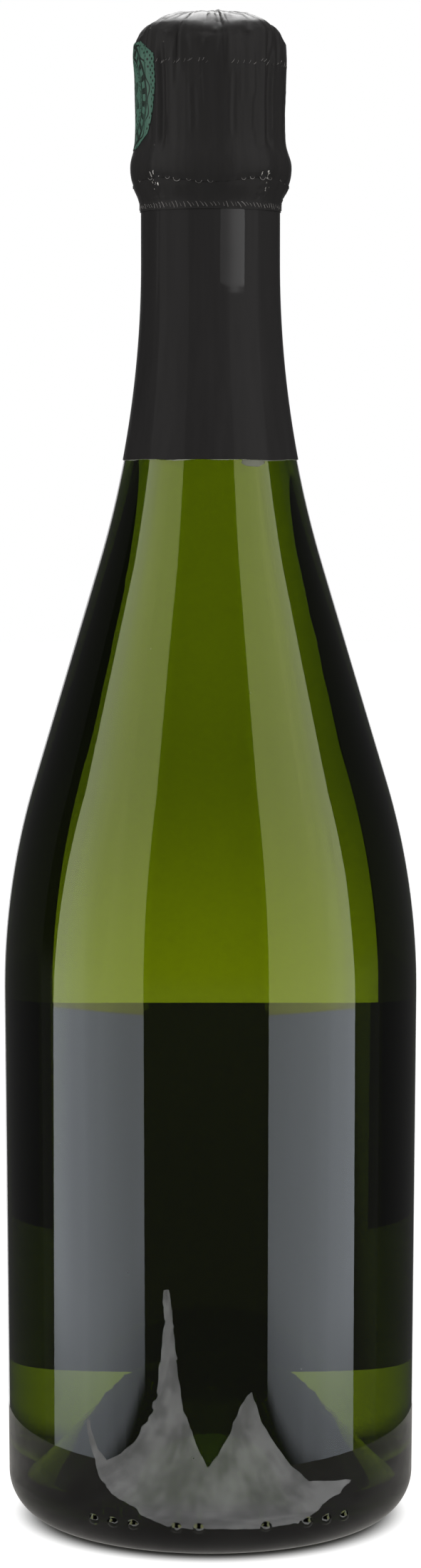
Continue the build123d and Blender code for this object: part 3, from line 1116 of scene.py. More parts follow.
@dataclass(frozen=True)
class GlueFinish(Finish):
    """Dried glue: milky, glossy and a little uneven."""

    name: str = "Dried glue"
    colour: Colour = (0.27, 0.29, 0.2)
    clearness: float = 0.3
    roughness: float = 0.22
    grain_height: float = 0.04 * MM
    grain_scales: tuple[float, float] = (1400.0, 500.0)
    dark_share: float = 0.45

    def lay(self, paint: Paint) -> None:
        """Lays blotched, half clear glue.

        Args:
            paint: The material's nodes.
        """
        grain = paint.grain(paint.place(), *self.grain_scales)
        tone = paint.mix(grain["Slow"], shade(self.colour, self.dark_share), self.colour)
        paint.dress({"Base Color": tone, "Transmission Weight": self.clearness, "Roughness": self.roughness})
        paint.bump(grain["Height"], 0.6, self.grain_height)


@dataclass(frozen=True)
class SealFinish(Finish):
    """Green seal paper printed with plain ovals, rays and dots. Its UV map and sizes are in millimetres."""

    name: str = "Seal paper"
    ground: Colour = (0.06, 0.155, 0.11)
    ink: Colour = (0.006, 0.016, 0.01)
    roughness: float = 0.55
    oval_ratio: float = 1.35
    rings: tuple[tuple[float, float], ...] = ((7.75, 0.3), (6.1, 0.24))
    line_half_width: float = 0.16
    petal_reach: tuple[float, float] = (2.6, 1.9)
    lobe_reach: tuple[float, float] = (0.35, 8.5)
    leaf_reach: tuple[float, float] = (0.5, 5.0)
    ray_middle: float = 6.9
    ray_half_length: float = 0.5
    dots_from: float = 9.3
    dot_pitch: float = 4.2
    ray_turns: float = 22.0
    petal_turns: float = 4.0
    lobe_turns: float = 14.0
    vein_pitch: float = 7.0
    grain_scales: tuple[float, float] = (1800.0, 400.0)
    grain_height: float = 0.02 * MM

    def lay(self, paint: Paint) -> None:
        """Lays the paper and the printed pattern.

        Args:
            paint: The material's nodes.
        """
        across, along, _ = paint.split(paint.add("ShaderNodeUVMap", uv_map="paper"))
        flat = paint.over(along, self.oval_ratio)
        reach = paint.length(across, flat)
        turn = paint.angle(flat, across)
        rays = paint.sine(paint.times(turn, self.ray_turns))
        petal_wave = paint.size(paint.sine(paint.times(turn, self.petal_turns)))
        petals = paint.below(reach, paint.scaled(petal_wave, *self.petal_reach))
        veins = paint.above(paint.sine(paint.times(reach, self.vein_pitch)), 0.55)
        lobes = paint.scaled(paint.sine(paint.times(turn, self.lobe_turns)), *self.lobe_reach)
        leaves = paint.scaled(paint.size(rays), *self.leaf_reach)
        waves = [paint.sine(paint.times(way, self.dot_pitch)) for way in (across, along)]
        total = paint.times(petals, paint.minus(1.0, veins))
        for ink in (
            *(paint.band(reach, *ring) for ring in self.rings),
            paint.band(reach, lobes, self.line_half_width),
            paint.band(reach, leaves, self.line_half_width),
            paint.times(paint.band(reach, self.ray_middle, self.ray_half_length), paint.above(rays, 0.1)),
            paint.times(paint.above(reach, self.dots_from), paint.above(paint.times(*waves), 0.45)),
        ):
            total = paint.most(total, ink)
        grain = paint.grain(paint.place(), *self.grain_scales)
        faded = paint.times(total, paint.ramp(grain["Slow"], 0.25, 0.5, 0.55, 1.0))
        paper = paint.mix(grain["Slow"], self.ground, shade(self.ground, 1.2))
        paint.dress({"Base Color": paint.mix(faded, paper, self.ink), "Roughness": self.roughness})
        paint.bump(grain["Height"], 0.4, self.grain_height)


@dataclass(frozen=True)
class EnamelFinish(Finish):
    """Enamelled tinplate: dark ground, a gold ring and a gold scalloped middle."""

    name: str = "Enamelled tinplate"
    ground: Colour = (0.012, 0.012, 0.014)
    gold: Colour = (0.62, 0.45, 0.17)
    roughness: float = 0.32
    coat: float = 0.5
    ring_radius: float = 8.2 * MM
    ring_half_width: float = 0.45 * MM
    middle_radius: float = 4.6 * MM
    scallop_height: float = 0.9 * MM
    scallop_turns: float = 6.0

    def lay(self, paint: Paint) -> None:
        """Lays the ground, the gold print and the worn edge.

        Args:
            paint: The material's nodes.
        """
        place = paint.place()
        x, y, _ = paint.split(place)
        reach = paint.length(x, y)
        scallop = paint.size(paint.sine(paint.times(paint.angle(y, x), self.scallop_turns)))
        middle = paint.below(reach, paint.scaled(scallop, self.scallop_height, self.middle_radius))
        printed = paint.most(middle, paint.band(reach, self.ring_radius, self.ring_half_width))
        bare = paint.most(printed, paint.group(SurfaceGroups.edge_wear(), {"Place": place}))
        paint.dress({"Base Color": paint.mix(bare, self.ground, self.gold), "Metallic": bare})
        paint.dress({"Roughness": self.roughness, "Coat Weight": self.coat})


@dataclass(frozen=True)
class CorkFinish(Finish):
    """Cork, either pressed from granules or cut whole with pores."""

    light: Colour = (0.52, 0.33, 0.17)
    dark: Colour = (0.26, 0.14, 0.06)
    roughness: float = 0.85
    cell_size: float = 1.7 * MM
    cell_drift: float = 0.6 * MM
    pore_share: float = 0.12
    pit_depth: float = 0.12 * MM
    grain_scales: tuple[float, float] = (2600.0, 700.0)
    drift_scale: float = 500.0
    seam_width: float = 0.06

    def lay(self, paint: Paint) -> None:
        """Lays cells with dark seams and pores.

        Args:
            paint: The material's nodes.
        """
        place = paint.place()
        drifted = paint.drift(place, self.drift_scale, self.cell_drift, place)
        cell = {"Vector": drifted, "Scale": 1 / self.cell_size}
        cells = paint.add("ShaderNodeTexVoronoi", cell)
        edges = paint.add("ShaderNodeTexVoronoi", cell, feature="DISTANCE_TO_EDGE")
        grain = paint.grain(place, *self.grain_scales)
        seam = paint.ramp(edges.outputs["Distance"], 0.0, self.seam_width)
        whole = paint.times(seam, paint.ramp(grain["Slow"], self.pore_share + 0.2, self.pore_share + 0.3))
        tone = paint.mix(cells.outputs["Color"], self.dark, self.light)
        paint.dress({"Base Color": paint.mix(whole, self.dark, tone), "Roughness": self.roughness})
        paint.bump(paint.scaled(grain["Height"], 0.3, whole), 0.7, self.pit_depth)


# Geometry trees


class PieceTree(Tree):
    """Geometry tree with named inputs, which ends in real geometry and its material."""

    def __init__(self, name: str, inputs: dict[str, tuple[str, Any]]) -> None:
        """Starts the tree.

        Args:
            name: Name of the tree.
            inputs: Socket type and default of each named input.
        """
        super().__init__(bpy.data.node_groups.new(name, "GeometryNodeTree"))
        geometry = {"Geometry": ("NodeSocketGeometry", None)}
        material = {"Material": ("NodeSocketMaterial", None)}
        for socket, (kind, default) in {**geometry, **inputs, **material}.items():
            socket_in(self.tree, socket, kind, default)
        self.tree.interface.new_socket(name="Geometry", in_out="OUTPUT", socket_type="NodeSocketGeometry")
        self.given = self.add("NodeGroupInput").outputs

    def close(self, geometry: Any) -> bpy.types.NodeTree:
        """Ends the tree in real geometry with its material.

        Args:
            geometry: Output with the geometry, which may hold instances.

        Returns:
            The tree.
        """
        real = self.add("GeometryNodeRealizeInstances", {"Geometry": geometry})
        smooth = self.add("GeometryNodeSetShadeSmooth", {"Geometry": real})
        dress = {"Geometry": smooth, "Material": self.given["Material"]}
        self.add("NodeGroupOutput", {"Geometry": self.add("GeometryNodeSetMaterial", dress)})
        return self.tree

    def random(self, low: Any, high: Any, seed: Any) -> Socket:
        """Random number for each point."""
        values = {2: low, 3: high, "Seed": seed}
        return self.add("FunctionNodeRandomValue", values, data_type="FLOAT").outputs[1]

    def sweep(self, curve: Any, sides: Any, radius: Any) -> bpy.types.Node:
        """Runs a round section along a curve and closes its ends.

        Args:
            curve: The curve.
            sides: Number of sides of the section.
            radius: Radius of the section.

        Returns:
            The node that puts out the mesh.
        """
        profile = self.add("GeometryNodeCurvePrimitiveCircle", {"Resolution": sides, "Radius": radius})
        ends = {"Curve": curve, "Profile Curve": profile.outputs["Curve"], "Fill Caps": True}
        return self.add("GeometryNodeCurveToMesh", ends)

    def stand_on_points(self, shape: Any, tilt: Any, scale: Any = 1.0) -> bpy.types.Node:
        """Sets a flat shape on each point, upright and facing out from the axis.

        Args:
            shape: The shape, which lies in the plane of X and Y.
            tilt: Its turn about the direction outwards.
            scale: Its size.

        Returns:
            The node that puts out the instances.
        """
        quarter = math.pi / 2
        upright = self.add("GeometryNodeTransform", {"Geometry": shape, "Rotation": (quarter, 0.0, quarter)})
        x, y, _ = self.split(self.add("GeometryNodeInputPosition"))
        facing = self.add("ShaderNodeCombineXYZ", {0: tilt, 2: self.angle(y, x)})
        size = self.add("ShaderNodeCombineXYZ", {0: scale, 1: scale, 2: scale})
        places = {"Points": self.given["Geometry"], "Instance": upright, "Rotation": facing, "Scale": size}
        return self.add("GeometryNodeInstanceOnPoints", places)


def run_tree(piece: bpy.types.Object, group: bpy.types.NodeTree, values: dict[str, Any]) -> bpy.types.Object:
    """Runs a geometry tree on a piece and keeps the result as a plain mesh.

    Args:
        piece: The object that carries the points or path.
        group: The geometry tree.
        values: Value of each named input.

    Returns:
        The piece.
    """
    modifier = piece.modifiers.new(group.name, "NODES")
    modifier.node_group = group
    for item in group.interface.items_tree:
        if item.item_type == "SOCKET" and item.in_out == "INPUT" and item.name in values:
            modifier[item.identifier] = values[item.name]
    return settle(piece)


@dataclass(frozen=True)
class Wire:
    """One kind of wire: plain, or wound of two strands."""

    radius: float
    step: float = 0.3 * MM
    wound: bool = False
    pitch: float = 3.2 * MM
    sides: int = 8

    @staticmethod
    @cache
    def tree() -> bpy.types.NodeTree:
        """Strands wound round a path: their radius, reach and pitch are inputs.

        Returns:
            The tree.
        """
        tree = PieceTree("Twisted wire", {
            "Strand Radius": (FLOAT, 0.28 * MM),
            "Reach": (FLOAT, 0.27 * MM),
            "Pitch": (FLOAT, 3.2 * MM),
            "Sides": (COUNT, 8),
            "Step": (FLOAT, 0.3 * MM),
        })
        strands = tree.add("GeometryNodeJoinGeometry")
        for phase in (0.0, math.pi):
            curve = tree.add("GeometryNodeMeshToCurve", {0: tree.given["Geometry"]})
            steps = {"Curve": curve, "Length": tree.given["Step"]}
            even = tree.add("GeometryNodeResampleCurve", steps, mode="LENGTH")
            length = tree.add("GeometryNodeSplineParameter").outputs["Length"]
            turn = tree.scaled(tree.over(length, tree.given["Pitch"]), 2 * math.pi, phase)
            normal = tree.add("GeometryNodeInputNormal").outputs[0]
            side = tree.vector("CROSS_PRODUCT", tree.add("GeometryNodeInputTangent"), normal)
            along_normal = tree.stretch(normal, tree.math("COSINE", turn))
            spoke = tree.vector("ADD", along_normal, tree.stretch(side, tree.sine(turn)))
            offset = tree.stretch(spoke, tree.given["Reach"])
            moved = tree.add("GeometryNodeSetPosition", {"Geometry": even, "Offset": offset})
            tree.feed(strands.inputs[0], tree.sweep(moved, tree.given["Sides"], tree.given["Strand Radius"]))
        return tree.close(strands)

    def run(
        self,
        name: str,
        paths: Sequence[Sequence[Vector]],
        material: bpy.types.Material,
        closed: bool = False,
    ) -> bpy.types.Object:
        """Runs the wire along one or more paths.

        Args:
            name: Name of the piece.
            paths: Places along each path.
            material: The wire's material.
            closed: Whether each path's end joins its start.

        Returns:
            The piece.
        """
        vertices: list[Vector] = []
        edges: list[tuple[int, int]] = []
        for path in paths:
            first = len(vertices)
            vertices += path
            edges += [(first + i, first + i + 1) for i in range(len(path) - 1)]
            if closed:
                edges.append((len(vertices) - 1, first))
        mesh = bpy.data.meshes.new(name)
        mesh.from_pydata(vertices, edges, [])
        strand = self.radius / 2 if self.wound else self.radius
        return run_tree(add_object(name, mesh), Wire.tree(), {
            "Strand Radius": strand,
            "Reach": self.radius - strand,
            "Pitch": self.pitch,
            "Sides": self.sides,
            "Step": self.step,
            "Material": material,
        })


# Bodies and slots


class Body(Enum):
    """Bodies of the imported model."""

    BOTTLE = "bottle"
    CORK = "cork"
    CAGE = "cage"
    HOOD = "hood"
    TAB = "tab"


def seat(
    piece: bpy.types.Object,
    body: Body,
    material: bpy.types.Material,
    replaces: Sequence[str] = (),
) -> bpy.types.Object:
    """Dresses a finished piece and ties it to its body.

    Args:
        piece: The finished object.
        body: The body that it moves with.
        material: Its material, which takes the place of any it has.
        replaces: CAD nodes that it stands for.

    Returns:
        The piece.
    """
    piece.data.materials.clear()
    piece.data.materials.append(material)
    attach(piece, body.value)
    if replaces:
        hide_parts(*replaces)
    log.info("%s: %d faces on %s", piece.name, len(piece.data.polygons), body.value)
    return piece


# Glass and label


@dataclass
class GlassBottle:
    """The glass with its punt, mouth and mould dots, and the wine in it."""

    shape: GlassShape = field(default_factory=GlassShape)
    columns: int = 180
    dot_radius: float = 1.3 * MM
    dot_proud: float = 0.8 * MM
    dot_height: float = 7.5 * MM
    dot_pitch: float = 6.2
    dot_first_turn: float = -93.2
    dot_steps: tuple[int, ...] = (-5, -4, -3, -1, 0, 3, 5, 6, 7)
    dot_reach: float = 1.9
    dot_columns: int = 7
    column_gap: float = 0.35
    wine_columns: int = 160
    wine_overlap: float = 0.2 * MM
    wine_height: float = 243.0 * MM

    def dot_turns(self) -> list[float]:
        """Angles of the mould dots, in degrees."""
        return [(self.dot_first_turn + step * self.dot_pitch) % 360 for step in self.dot_steps]

    def turns(self) -> list[float]:
        """Columns of the glass, closer together where the mould dots are.

        Returns:
            The angles, in degrees.
        """
        count = self.dot_columns
        steps = [self.dot_reach * i / count for i in range(-count, count + 1)]
        fine = [(turn + step) % 360 for turn in self.dot_turns() for step in steps]
        plain = even_turns(self.columns)
        clear = [t for t in plain if all(abs(turn_between(t, f)) > self.column_gap for f in fine)]
        return sorted(clear + fine)

    def raise_dots(self, turn: float, radius: float, height: float) -> Polar:
        """Lifts the points of the heel that lie on a mould dot.

        Args:
            turn: Angle of the point, in degrees.
            radius: Its radius.
            height: Its height.

        Returns:
            The point's new angle, radius and height.
        """
        shape = self.shape
        heel_reach = self.dot_radius * 2
        if abs(height - self.dot_height) > heel_reach or radius < shape.heel_centre_radius + heel_reach:
            return turn, radius, height
        sunk = self.dot_radius - self.dot_proud
        cap = math.sqrt(self.dot_radius**2 - sunk**2)
        lean = math.asin((self.dot_height - shape.heel_radius) / shape.heel_radius)
        here = math.atan2(height - shape.heel_radius, radius - shape.heel_centre_radius)
        along = (here - lean) * shape.heel_radius
        for dot in self.dot_turns():
            away = math.hypot(math.radians(turn_between(turn, dot)) * radius, along)
            if away < cap:
                rise = math.sqrt(self.dot_radius**2 - away**2) - sunk
                return turn, radius + rise * math.cos(here), height + rise * math.sin(here)
        return turn, radius, height

    def build(self, glass: ClearFinish, wine: ClearFinish) -> list[bpy.types.Object]:
        """Makes the glass and the wine.

        Args:
            glass: Finish of the glass.
            wine: Finish of the wine.

        Returns:
            Both pieces.
        """
        skin = turned_object("bottle_green_glass", self.shape.outline(), self.turns(), self.raise_dots, 40)
        seat(skin, Body.BOTTLE, glass.material(), ["bottle_glass"])
        floor = self.shape.floor_points(self.wine_overlap)
        wall = self.shape.inner_flank(floor[0], self.wine_overlap)
        side = [p for p in wall if p[1] < self.wine_height]
        brim = (radius_at(wall, self.wine_height), self.wine_height)
        outline = [*floor[::-1], *side[1:], brim, (0.0, self.wine_height)]
        fill = turned_object("wine_fill", outline, even_turns(self.wine_columns), None, 40)
        return [skin, seat(fill, Body.BOTTLE, wine.material())]


@dataclass
class FrontLabel:
    """Black paper label round the front of the body, with gold lines and a plain rosette."""

    shape: GlassShape = field(default_factory=GlassShape)
    clearance: float = 0.05 * MM
    thickness: float = 0.1 * MM
    foot_height: float = 25.6 * MM
    height: float = 82.0 * MM
    width: float = 104.0 * MM
    corner_radius: float = 3.0 * MM
    columns: int = 72
    line: Wire = Wire(0.1 * MM, 1.2 * MM, sides=6)
    line_proud: float = 0.13 * MM
    borders: tuple[tuple[float, float], ...] = ((2.4 * MM, 2.0 * MM), (3.7 * MM, 1.2 * MM))
    rule_heights: tuple[float, ...] = (14.2 * MM, 18.6 * MM, 63.4 * MM, 67.8 * MM)
    rule_half_width: float = 40.0 * MM
    rule_steps: int = 40
    petals: tuple[tuple[str, int, float, float, float], ...] = (
        ("label_beads", 48, 16.6 * MM, 0.5 * MM, 1.0),
        ("label_long_petals", 16, 11.6 * MM, 1.15 * MM, 2.9),
        ("label_short_petals", 12, 5.6 * MM, 0.8 * MM, 2.4),
        ("label_middle", 1, 0.0, 2.2 * MM, 1.0),
    )
    petal_corners: int = 24
    diamond_heights: tuple[float, float] = (-24.6 * MM, 24.6 * MM)
    diamond_pitch: float = 5.2 * MM
    dot_heights: tuple[float, float] = (-29.4 * MM, 29.4 * MM)
    dot_pitch: float = 2.6 * MM

    def surface(self, across: float, up: float, proud: float) -> Vector:
        """Place on the label.

        Args:
            across: Distance across the label from its middle.
            up: Height above its foot.
            proud: Height off the glass.

        Returns:
            The place.
        """
        z = self.foot_height + up
        radius = self.shape.outer_radius(z) + self.clearance + proud
        return spot(90 - math.degrees(across / self.shape.body_radius), radius, z)

    def half_width(self, up: float) -> float:
        """Half width of the label, less at its rounded corners.

        Args:
            up: Height above its foot.

        Returns:
            The half width.
        """
        drop = max(0.0, self.corner_radius - min(up, self.height - up))
        return self.width / 2 - self.corner_radius + math.sqrt(max(0.0, self.corner_radius**2 - drop**2))

    def frame_path(self, inset: float, corner: float) -> list[Vector]:
        """Rounded rectangle on the label.

        Args:
            inset: Distance from the label's edge.
            corner: Radius of the corners.

        Returns:
            The places round it.
        """
        half_width, half_height = self.width / 2 - inset, self.height / 2 - inset
        quarter = math.pi / 2
        path = []
        for i, (across, up) in enumerate(((1, 1), (-1, 1), (-1, -1), (1, -1))):
            centre = (across * (half_width - corner), up * (half_height - corner))
            path += arc_points(centre, corner, i * quarter, (i + 1) * quarter, 6)
        points = dense([*path, path[0]], 2 * MM)[:-1]
        return [self.surface(x, self.height / 2 + z, self.line_proud) for x, z in points]

    def lines(self, gold: bpy.types.Material) -> None:
        """Makes the double border and the rules.

        Args:
            gold: The material.
        """
        frames = [self.frame_path(inset, corner) for inset, corner in self.borders]
        seat(self.line.run("label_border", frames, gold, True), Body.BOTTLE, gold)
        half, steps = self.rule_half_width, self.rule_steps
        across = [half * (2 * i / steps - 1) for i in range(steps + 1)]
        rules = [[self.surface(x, up, self.line_proud) for x in across] for up in self.rule_heights]
        seat(self.line.run("label_rules", rules, gold), Body.BOTTLE, gold)

    @staticmethod
    @cache
    def ornament_tree() -> bpy.types.NodeTree:
        """Flat shapes set on points and turned by each point's own tilt.

        Returns:
            The tree.
        """
        tree = PieceTree("Label ornament", {
            "Radius": (FLOAT, 0.6 * MM),
            "Stretch": (FLOAT, 1.0),
            "Corners": (COUNT, 20),
            "Thickness": (FLOAT, 0.05 * MM),
        })
        given = tree.given
        sizes = {"Vertices": given["Corners"], "Radius": given["Radius"], "Depth": given["Thickness"]}
        disc = tree.add("GeometryNodeMeshCylinder", sizes)
        stretch = tree.add("ShaderNodeCombineXYZ", {0: given["Stretch"], 1: 1.0, 2: 1.0})
        shaped = tree.add("GeometryNodeTransform", {"Geometry": disc, "Scale": stretch})
        tilt = tree.add("GeometryNodeInputNamedAttribute", {"Name": "tilt"}, data_type="FLOAT")
        return tree.close(tree.stand_on_points(shaped, tilt))

    def scatter(
        self,
        name: str,
        spots: Sequence[tuple[float, float, float]],
        gold: bpy.types.Material,
        values: dict[str, float],
    ) -> None:
        """Lays one kind of flat shape at places on the label.

        Args:
            name: Name of the piece.
            spots: Distance across, height above the label's middle, and tilt of each shape.
            gold: The material.
            values: Inputs of the ornament's tree.
        """
        places = [self.surface(x, self.height / 2 + z, self.line_proud) for x, z, _ in spots]
        piece = points_object(name, places)
        tilts = piece.data.attributes.new("tilt", "FLOAT", "POINT")
        tilts.data.foreach_set("value", [tilt for _, _, tilt in spots])
        run_tree(piece, self.ornament_tree(), {**values, "Material": gold})
        piece.data.set_sharp_from_angle(angle=math.radians(35))
        seat(piece, Body.BOTTLE, gold)

    def rosette(self, gold: bpy.types.Material) -> None:
        """Makes the rosette of petals, its ring of beads and the rows of diamonds and dots.

        Args:
            gold: The material.
        """
        for name, count, reach, radius, stretch in self.petals:
            turns = [2 * math.pi * i / count for i in range(count)]
            spots = [(reach * math.cos(a), reach * math.sin(a), -a) for a in turns]
            values = {"Radius": radius, "Stretch": stretch, "Corners": self.petal_corners}
            self.scatter(name, spots, gold, values)
        steps = range(-7, 8)
        diamonds = [(step * self.diamond_pitch, z, 0.0) for z in self.diamond_heights for step in steps]
        self.scatter("label_diamonds", diamonds, gold, {"Radius": 0.95 * MM, "Stretch": 1.5, "Corners": 4})
        dots = [((step + 0.5) * self.dot_pitch, z, 0.0) for z in self.dot_heights for step in range(-15, 15)]
        self.scatter("label_dots", dots, gold, {"Radius": 0.4 * MM, "Stretch": 1.0, "Corners": 14})

    def build(self, paper: PaperFinish, gold: MetalFinish) -> None:
        """Makes the label and its ornament.

        Args:
            paper: Finish of the label.
            gold: Finish of the ornament.
        """
        leaf = gold.material()
        self.lines(leaf)
        self.rosette(leaf)
        corner = [self.corner_radius * (1 - math.cos(math.radians(a))) for a in range(0, 90, 15)]
        middle = np.linspace(self.corner_radius, self.height - self.corner_radius, 12).tolist()
        vertices = []
        for up in (*corner, *middle, *(self.height - c for c in reversed(corner))):
            half = self.half_width(up)
            across = [half * (2 * i / (self.columns - 1) - 1) for i in range(self.columns)]
            vertices += [self.surface(x, up, self.thickness) for x in across]
        sheet = sheet_object("front_label_paper", vertices, self.columns, self.thickness)
        seat(sheet, Body.BOTTLE, paper.material(), ["front_label"])


# Foil


@dataclass(frozen=True)
class HoodShape:
    """Outside of the foil hood: a rounded belt over the wire, a slack side and a gathered top."""

    foot_height: float = 284.77 * MM
    top_height: float = 320.3 * MM
    side: tuple[Point, ...] = (
        (284.77, 16.2), (285.6, 16.6), (286.8, 16.92), (288.2, 17.0), (289.6, 16.85), (291.0, 16.42),
        (292.3, 16.02), (293.6, 15.82), (296.0, 15.74), (300.0, 15.72), (305.0, 15.9), (310.0, 16.05),
        (314.7, 15.86),
    )
    shoulder_radius: float = 3.4 * MM
    shoulder_sweep: float = math.radians(80)
    crown_power: float = 3.0
    slump_in: float = 0.6
    slump_down: float = 0.72
    leg_turns: tuple[float, ...] = (45.0, 135.0, 225.0, 315.0)
    ear_turn: float = 0.0
    droop: float = 0.6 * MM
    dent_after_leg: float = 5.5
    scallops: int = 44
    scallops_lost: float = 0.16
    scallop_drop: float = 0.4 * MM
    scallop_reach: float = 2.4
    scallop_seed: int = 11
    crease_turns: tuple[float, ...] = (
        244.0, 279.5, 318.0, 331.0, 212.0, 188.0, 160.0, 118.0, 84.0, 51.0, 14.0,
    )
    folds: tuple[Polar, ...] = (
        (255.0, 294.0, 305.0), (263.0, 299.0, 312.0), (286.0, 293.0, 308.0), (293.5, 300.0, 313.0),
        (240.0, 303.0, 313.0), (302.0, 294.0, 303.0), (345.0, 296.0, 310.0), (12.0, 294.0, 307.0),
        (74.0, 297.0, 312.0), (98.0, 294.0, 304.0), (150.0, 300.0, 313.0),
    )
    bumps: tuple[Polar, ...] = (
        (274.0, 316.0, 2.6), (266.5, 313.2, 2.2), (236.0, 315.0, 3.0), (301.0, 315.4, 3.2),
        (204.0, 314.8, 3.0), (120.0, 315.2, 3.4), (75.0, 314.6, 2.4), (30.0, 315.6, 3.2),
    )

    def outline(self) -> list[Point]:
        """Half outline of the hood.

        Returns:
            The points from the foot to the middle of the top.
        """
        side = smooth_outline(self.side, 62, 4)
        centre = (side[-1][0] - self.shoulder_radius, side[-1][1])
        shoulder = arc_points(centre, self.shoulder_radius, 0, self.shoulder_sweep, 22)[1:]
        edge_radius, edge_height = shoulder[-1]
        rise = self.top_height - edge_height
        shares = [1 - i / 18 for i in range(1, 19)]
        power = self.crown_power
        crown = [(edge_radius * share, edge_height + rise * (1 - share**power)) for share in shares]
        return [*side, *shoulder, *crown]

    def edge_shift(self, turn: float) -> float:
        """How far the torn line between hood and strip rises or dips, highest at the legs."""
        wave = math.cos(math.radians(4 * (turn - self.leg_turns[0])))
        return self.droop * wave + 0.12 * MM * ruffle(turn * 0.09, 3.1)

    def scallop_turns(self) -> list[float]:
        """Angles of the small scallops with which the hood's edge laps over the strip.

        Returns:
            The angles, in degrees.
        """
        rng = random.Random(self.scallop_seed)
        kept = [turn for turn in even_turns(self.scallops) if rng.random() > self.scallops_lost]
        return [turn + rng.uniform(-0.7, 0.7) for turn in kept]

    def scallop(self, turn: float) -> float:
        """How far the edge hangs down in a scallop."""
        away = min(abs(turn_between(turn, other)) for other in self.scallop_turns()) / self.scallop_reach
        return self.scallop_drop * math.sqrt(max(0.0, 1.0 - away * away))

    def wire_marks(self, turn: float, z: float) -> float:
        """How far the legs and the loop of the cage push the foil out, with the dents beside them.

        Args:
            turn: Angle, in degrees.
            z: Height, in millimetres.

        Returns:
            The distance, in millimetres.
        """
        out = 0.16 * hump(turn_between(turn, self.ear_turn), 6.0) * smooth_step(292.0, 288.5, z)
        side = window(z, 290.5, 294.0, 309.0, 315.0)
        for leg in self.leg_turns:
            away = turn_between(turn, leg)
            if abs(away) > 40:
                continue
            wander = 1.3 * ruffle(z * 0.12, leg)
            out += 0.34 * hump(away, 5.5) * smooth_step(292.5, 289.0, z)
            out += 0.2 * ridge(away - wander, 1.6) * side
            out -= 0.55 * hump(away - self.dent_after_leg - wander, 3.0) * side
            out += 0.26 * ridge(away - self.dent_after_leg - 4.6 - wander * 1.6, 1.3) * side
            out -= 0.18 * hump(away + 7.5 + wander, 2.4) * side
            crumple = hump(away, 9.0) * smooth_step(290.5, 286.5, z)
            out += 0.30 * crumple * (abs(ruffle(turn * 0.55, z * 1.1, leg)) - 0.22)
        return out

    def side_folds(self, turn: float, z: float) -> float:
        """How far the upright folds of the side stand out.

        Args:
            turn: Angle, in degrees.
            z: Height, in millimetres.

        Returns:
            The distance, in millimetres.
        """
        out = 0.0
        for i, (fold_turn, low, high) in enumerate(self.folds):
            along = window(z, low, low + 2.5, high - 2.5, high)
            away = turn_between(turn, fold_turn + 1.6 * ruffle(z * 0.1, i * 5.3, 2.0))
            out += (0.17 * ridge(away, 1.1) - 0.12 * hump(away - 2.6, 2.0)) * along
        return out

    def gathers(self, turn: float, z: float) -> float:
        """How far the creases and gathers of the top stand out.

        Args:
            turn: Angle, in degrees.
            z: Height, in millimetres.

        Returns:
            The distance, in millimetres.
        """
        out = 0.5 * (abs(ruffle(turn * 0.055, z * 0.09, 1.7)) - 0.1)
        for i, crease in enumerate(self.crease_turns):
            lean = 2.2 * ruffle(i * 7.7, 0.3) * (313.0 - min(z, 316.0)) * 0.35
            away = turn_between(turn, crease + lean)
            depth = 0.36 + 0.2 * ruffle(i * 3.3, 9.1)
            out += depth * (0.8 * hump(away - 3.2, 2.4) + 0.35 * hump(away + 4.6, 3.0) - ridge(away, 1.2))
        return out

    def bend(self, turn: float, radius: float, height: float) -> Polar:
        """Moves a point of the plain outline to where the worked foil is.

        Args:
            turn: Angle of the point, in degrees.
            radius: Its radius.
            height: Its height.

        Returns:
            The point's new angle, radius and height.
        """
        z, reach, a = height / MM, radius / MM, math.radians(turn)
        near_axis = smooth_step(0.0, 6.0, reach)
        out = self.wire_marks(turn, z) + self.side_folds(turn, z)
        out += self.gathers(turn, z) * smooth_step(305.0, 313.5, z) * near_axis
        for bump_turn, bump_height, width in self.bumps:
            level = hump(z - bump_height, 0.09 * width + 0.35)
            out += 0.3 * hump(turn_between(turn, bump_turn), width) * level
        out += 0.05 * ruffle(turn * 0.22, z * 0.03, 5.0) + 0.035 * ruffle(turn * 0.9, z * 0.9, 8.0)
        out += 0.13 * ruffle(turn * 0.045, z * 0.11, 14.0) * window(z, 296.0, 301.0, 309.0, 313.0)
        out = max(out, -0.25) if z > 314 else out
        x, y = reach * math.cos(a), reach * math.sin(a)
        lump = ruffle(x * 0.17, y * 0.17, 21.0)
        fold = 0.25 - abs(ruffle(x * 0.3, y * 0.3, 27.0))
        between = math.cos(2 * a) ** 2 * smooth_step(313.5, 316.0, z) * smooth_step(9.5, 13.5, reach)
        flat = smooth_step(315.8, 318.0, z)
        inwards = self.slump_in * between
        lift = (out * 0.8 + 0.3 * lump + 0.5 * fold * near_axis) * flat - self.slump_down * between
        above_foot = height - self.foot_height
        drop = self.scallop(turn) if above_foot < 0.01 * MM else 0.0
        edge = self.edge_shift(turn) * (1 - smooth_step(0.0, 3.5 * MM, above_foot))
        return turn, radius + (out * (1 - flat) - inwards) * MM, height + lift * MM - drop + edge


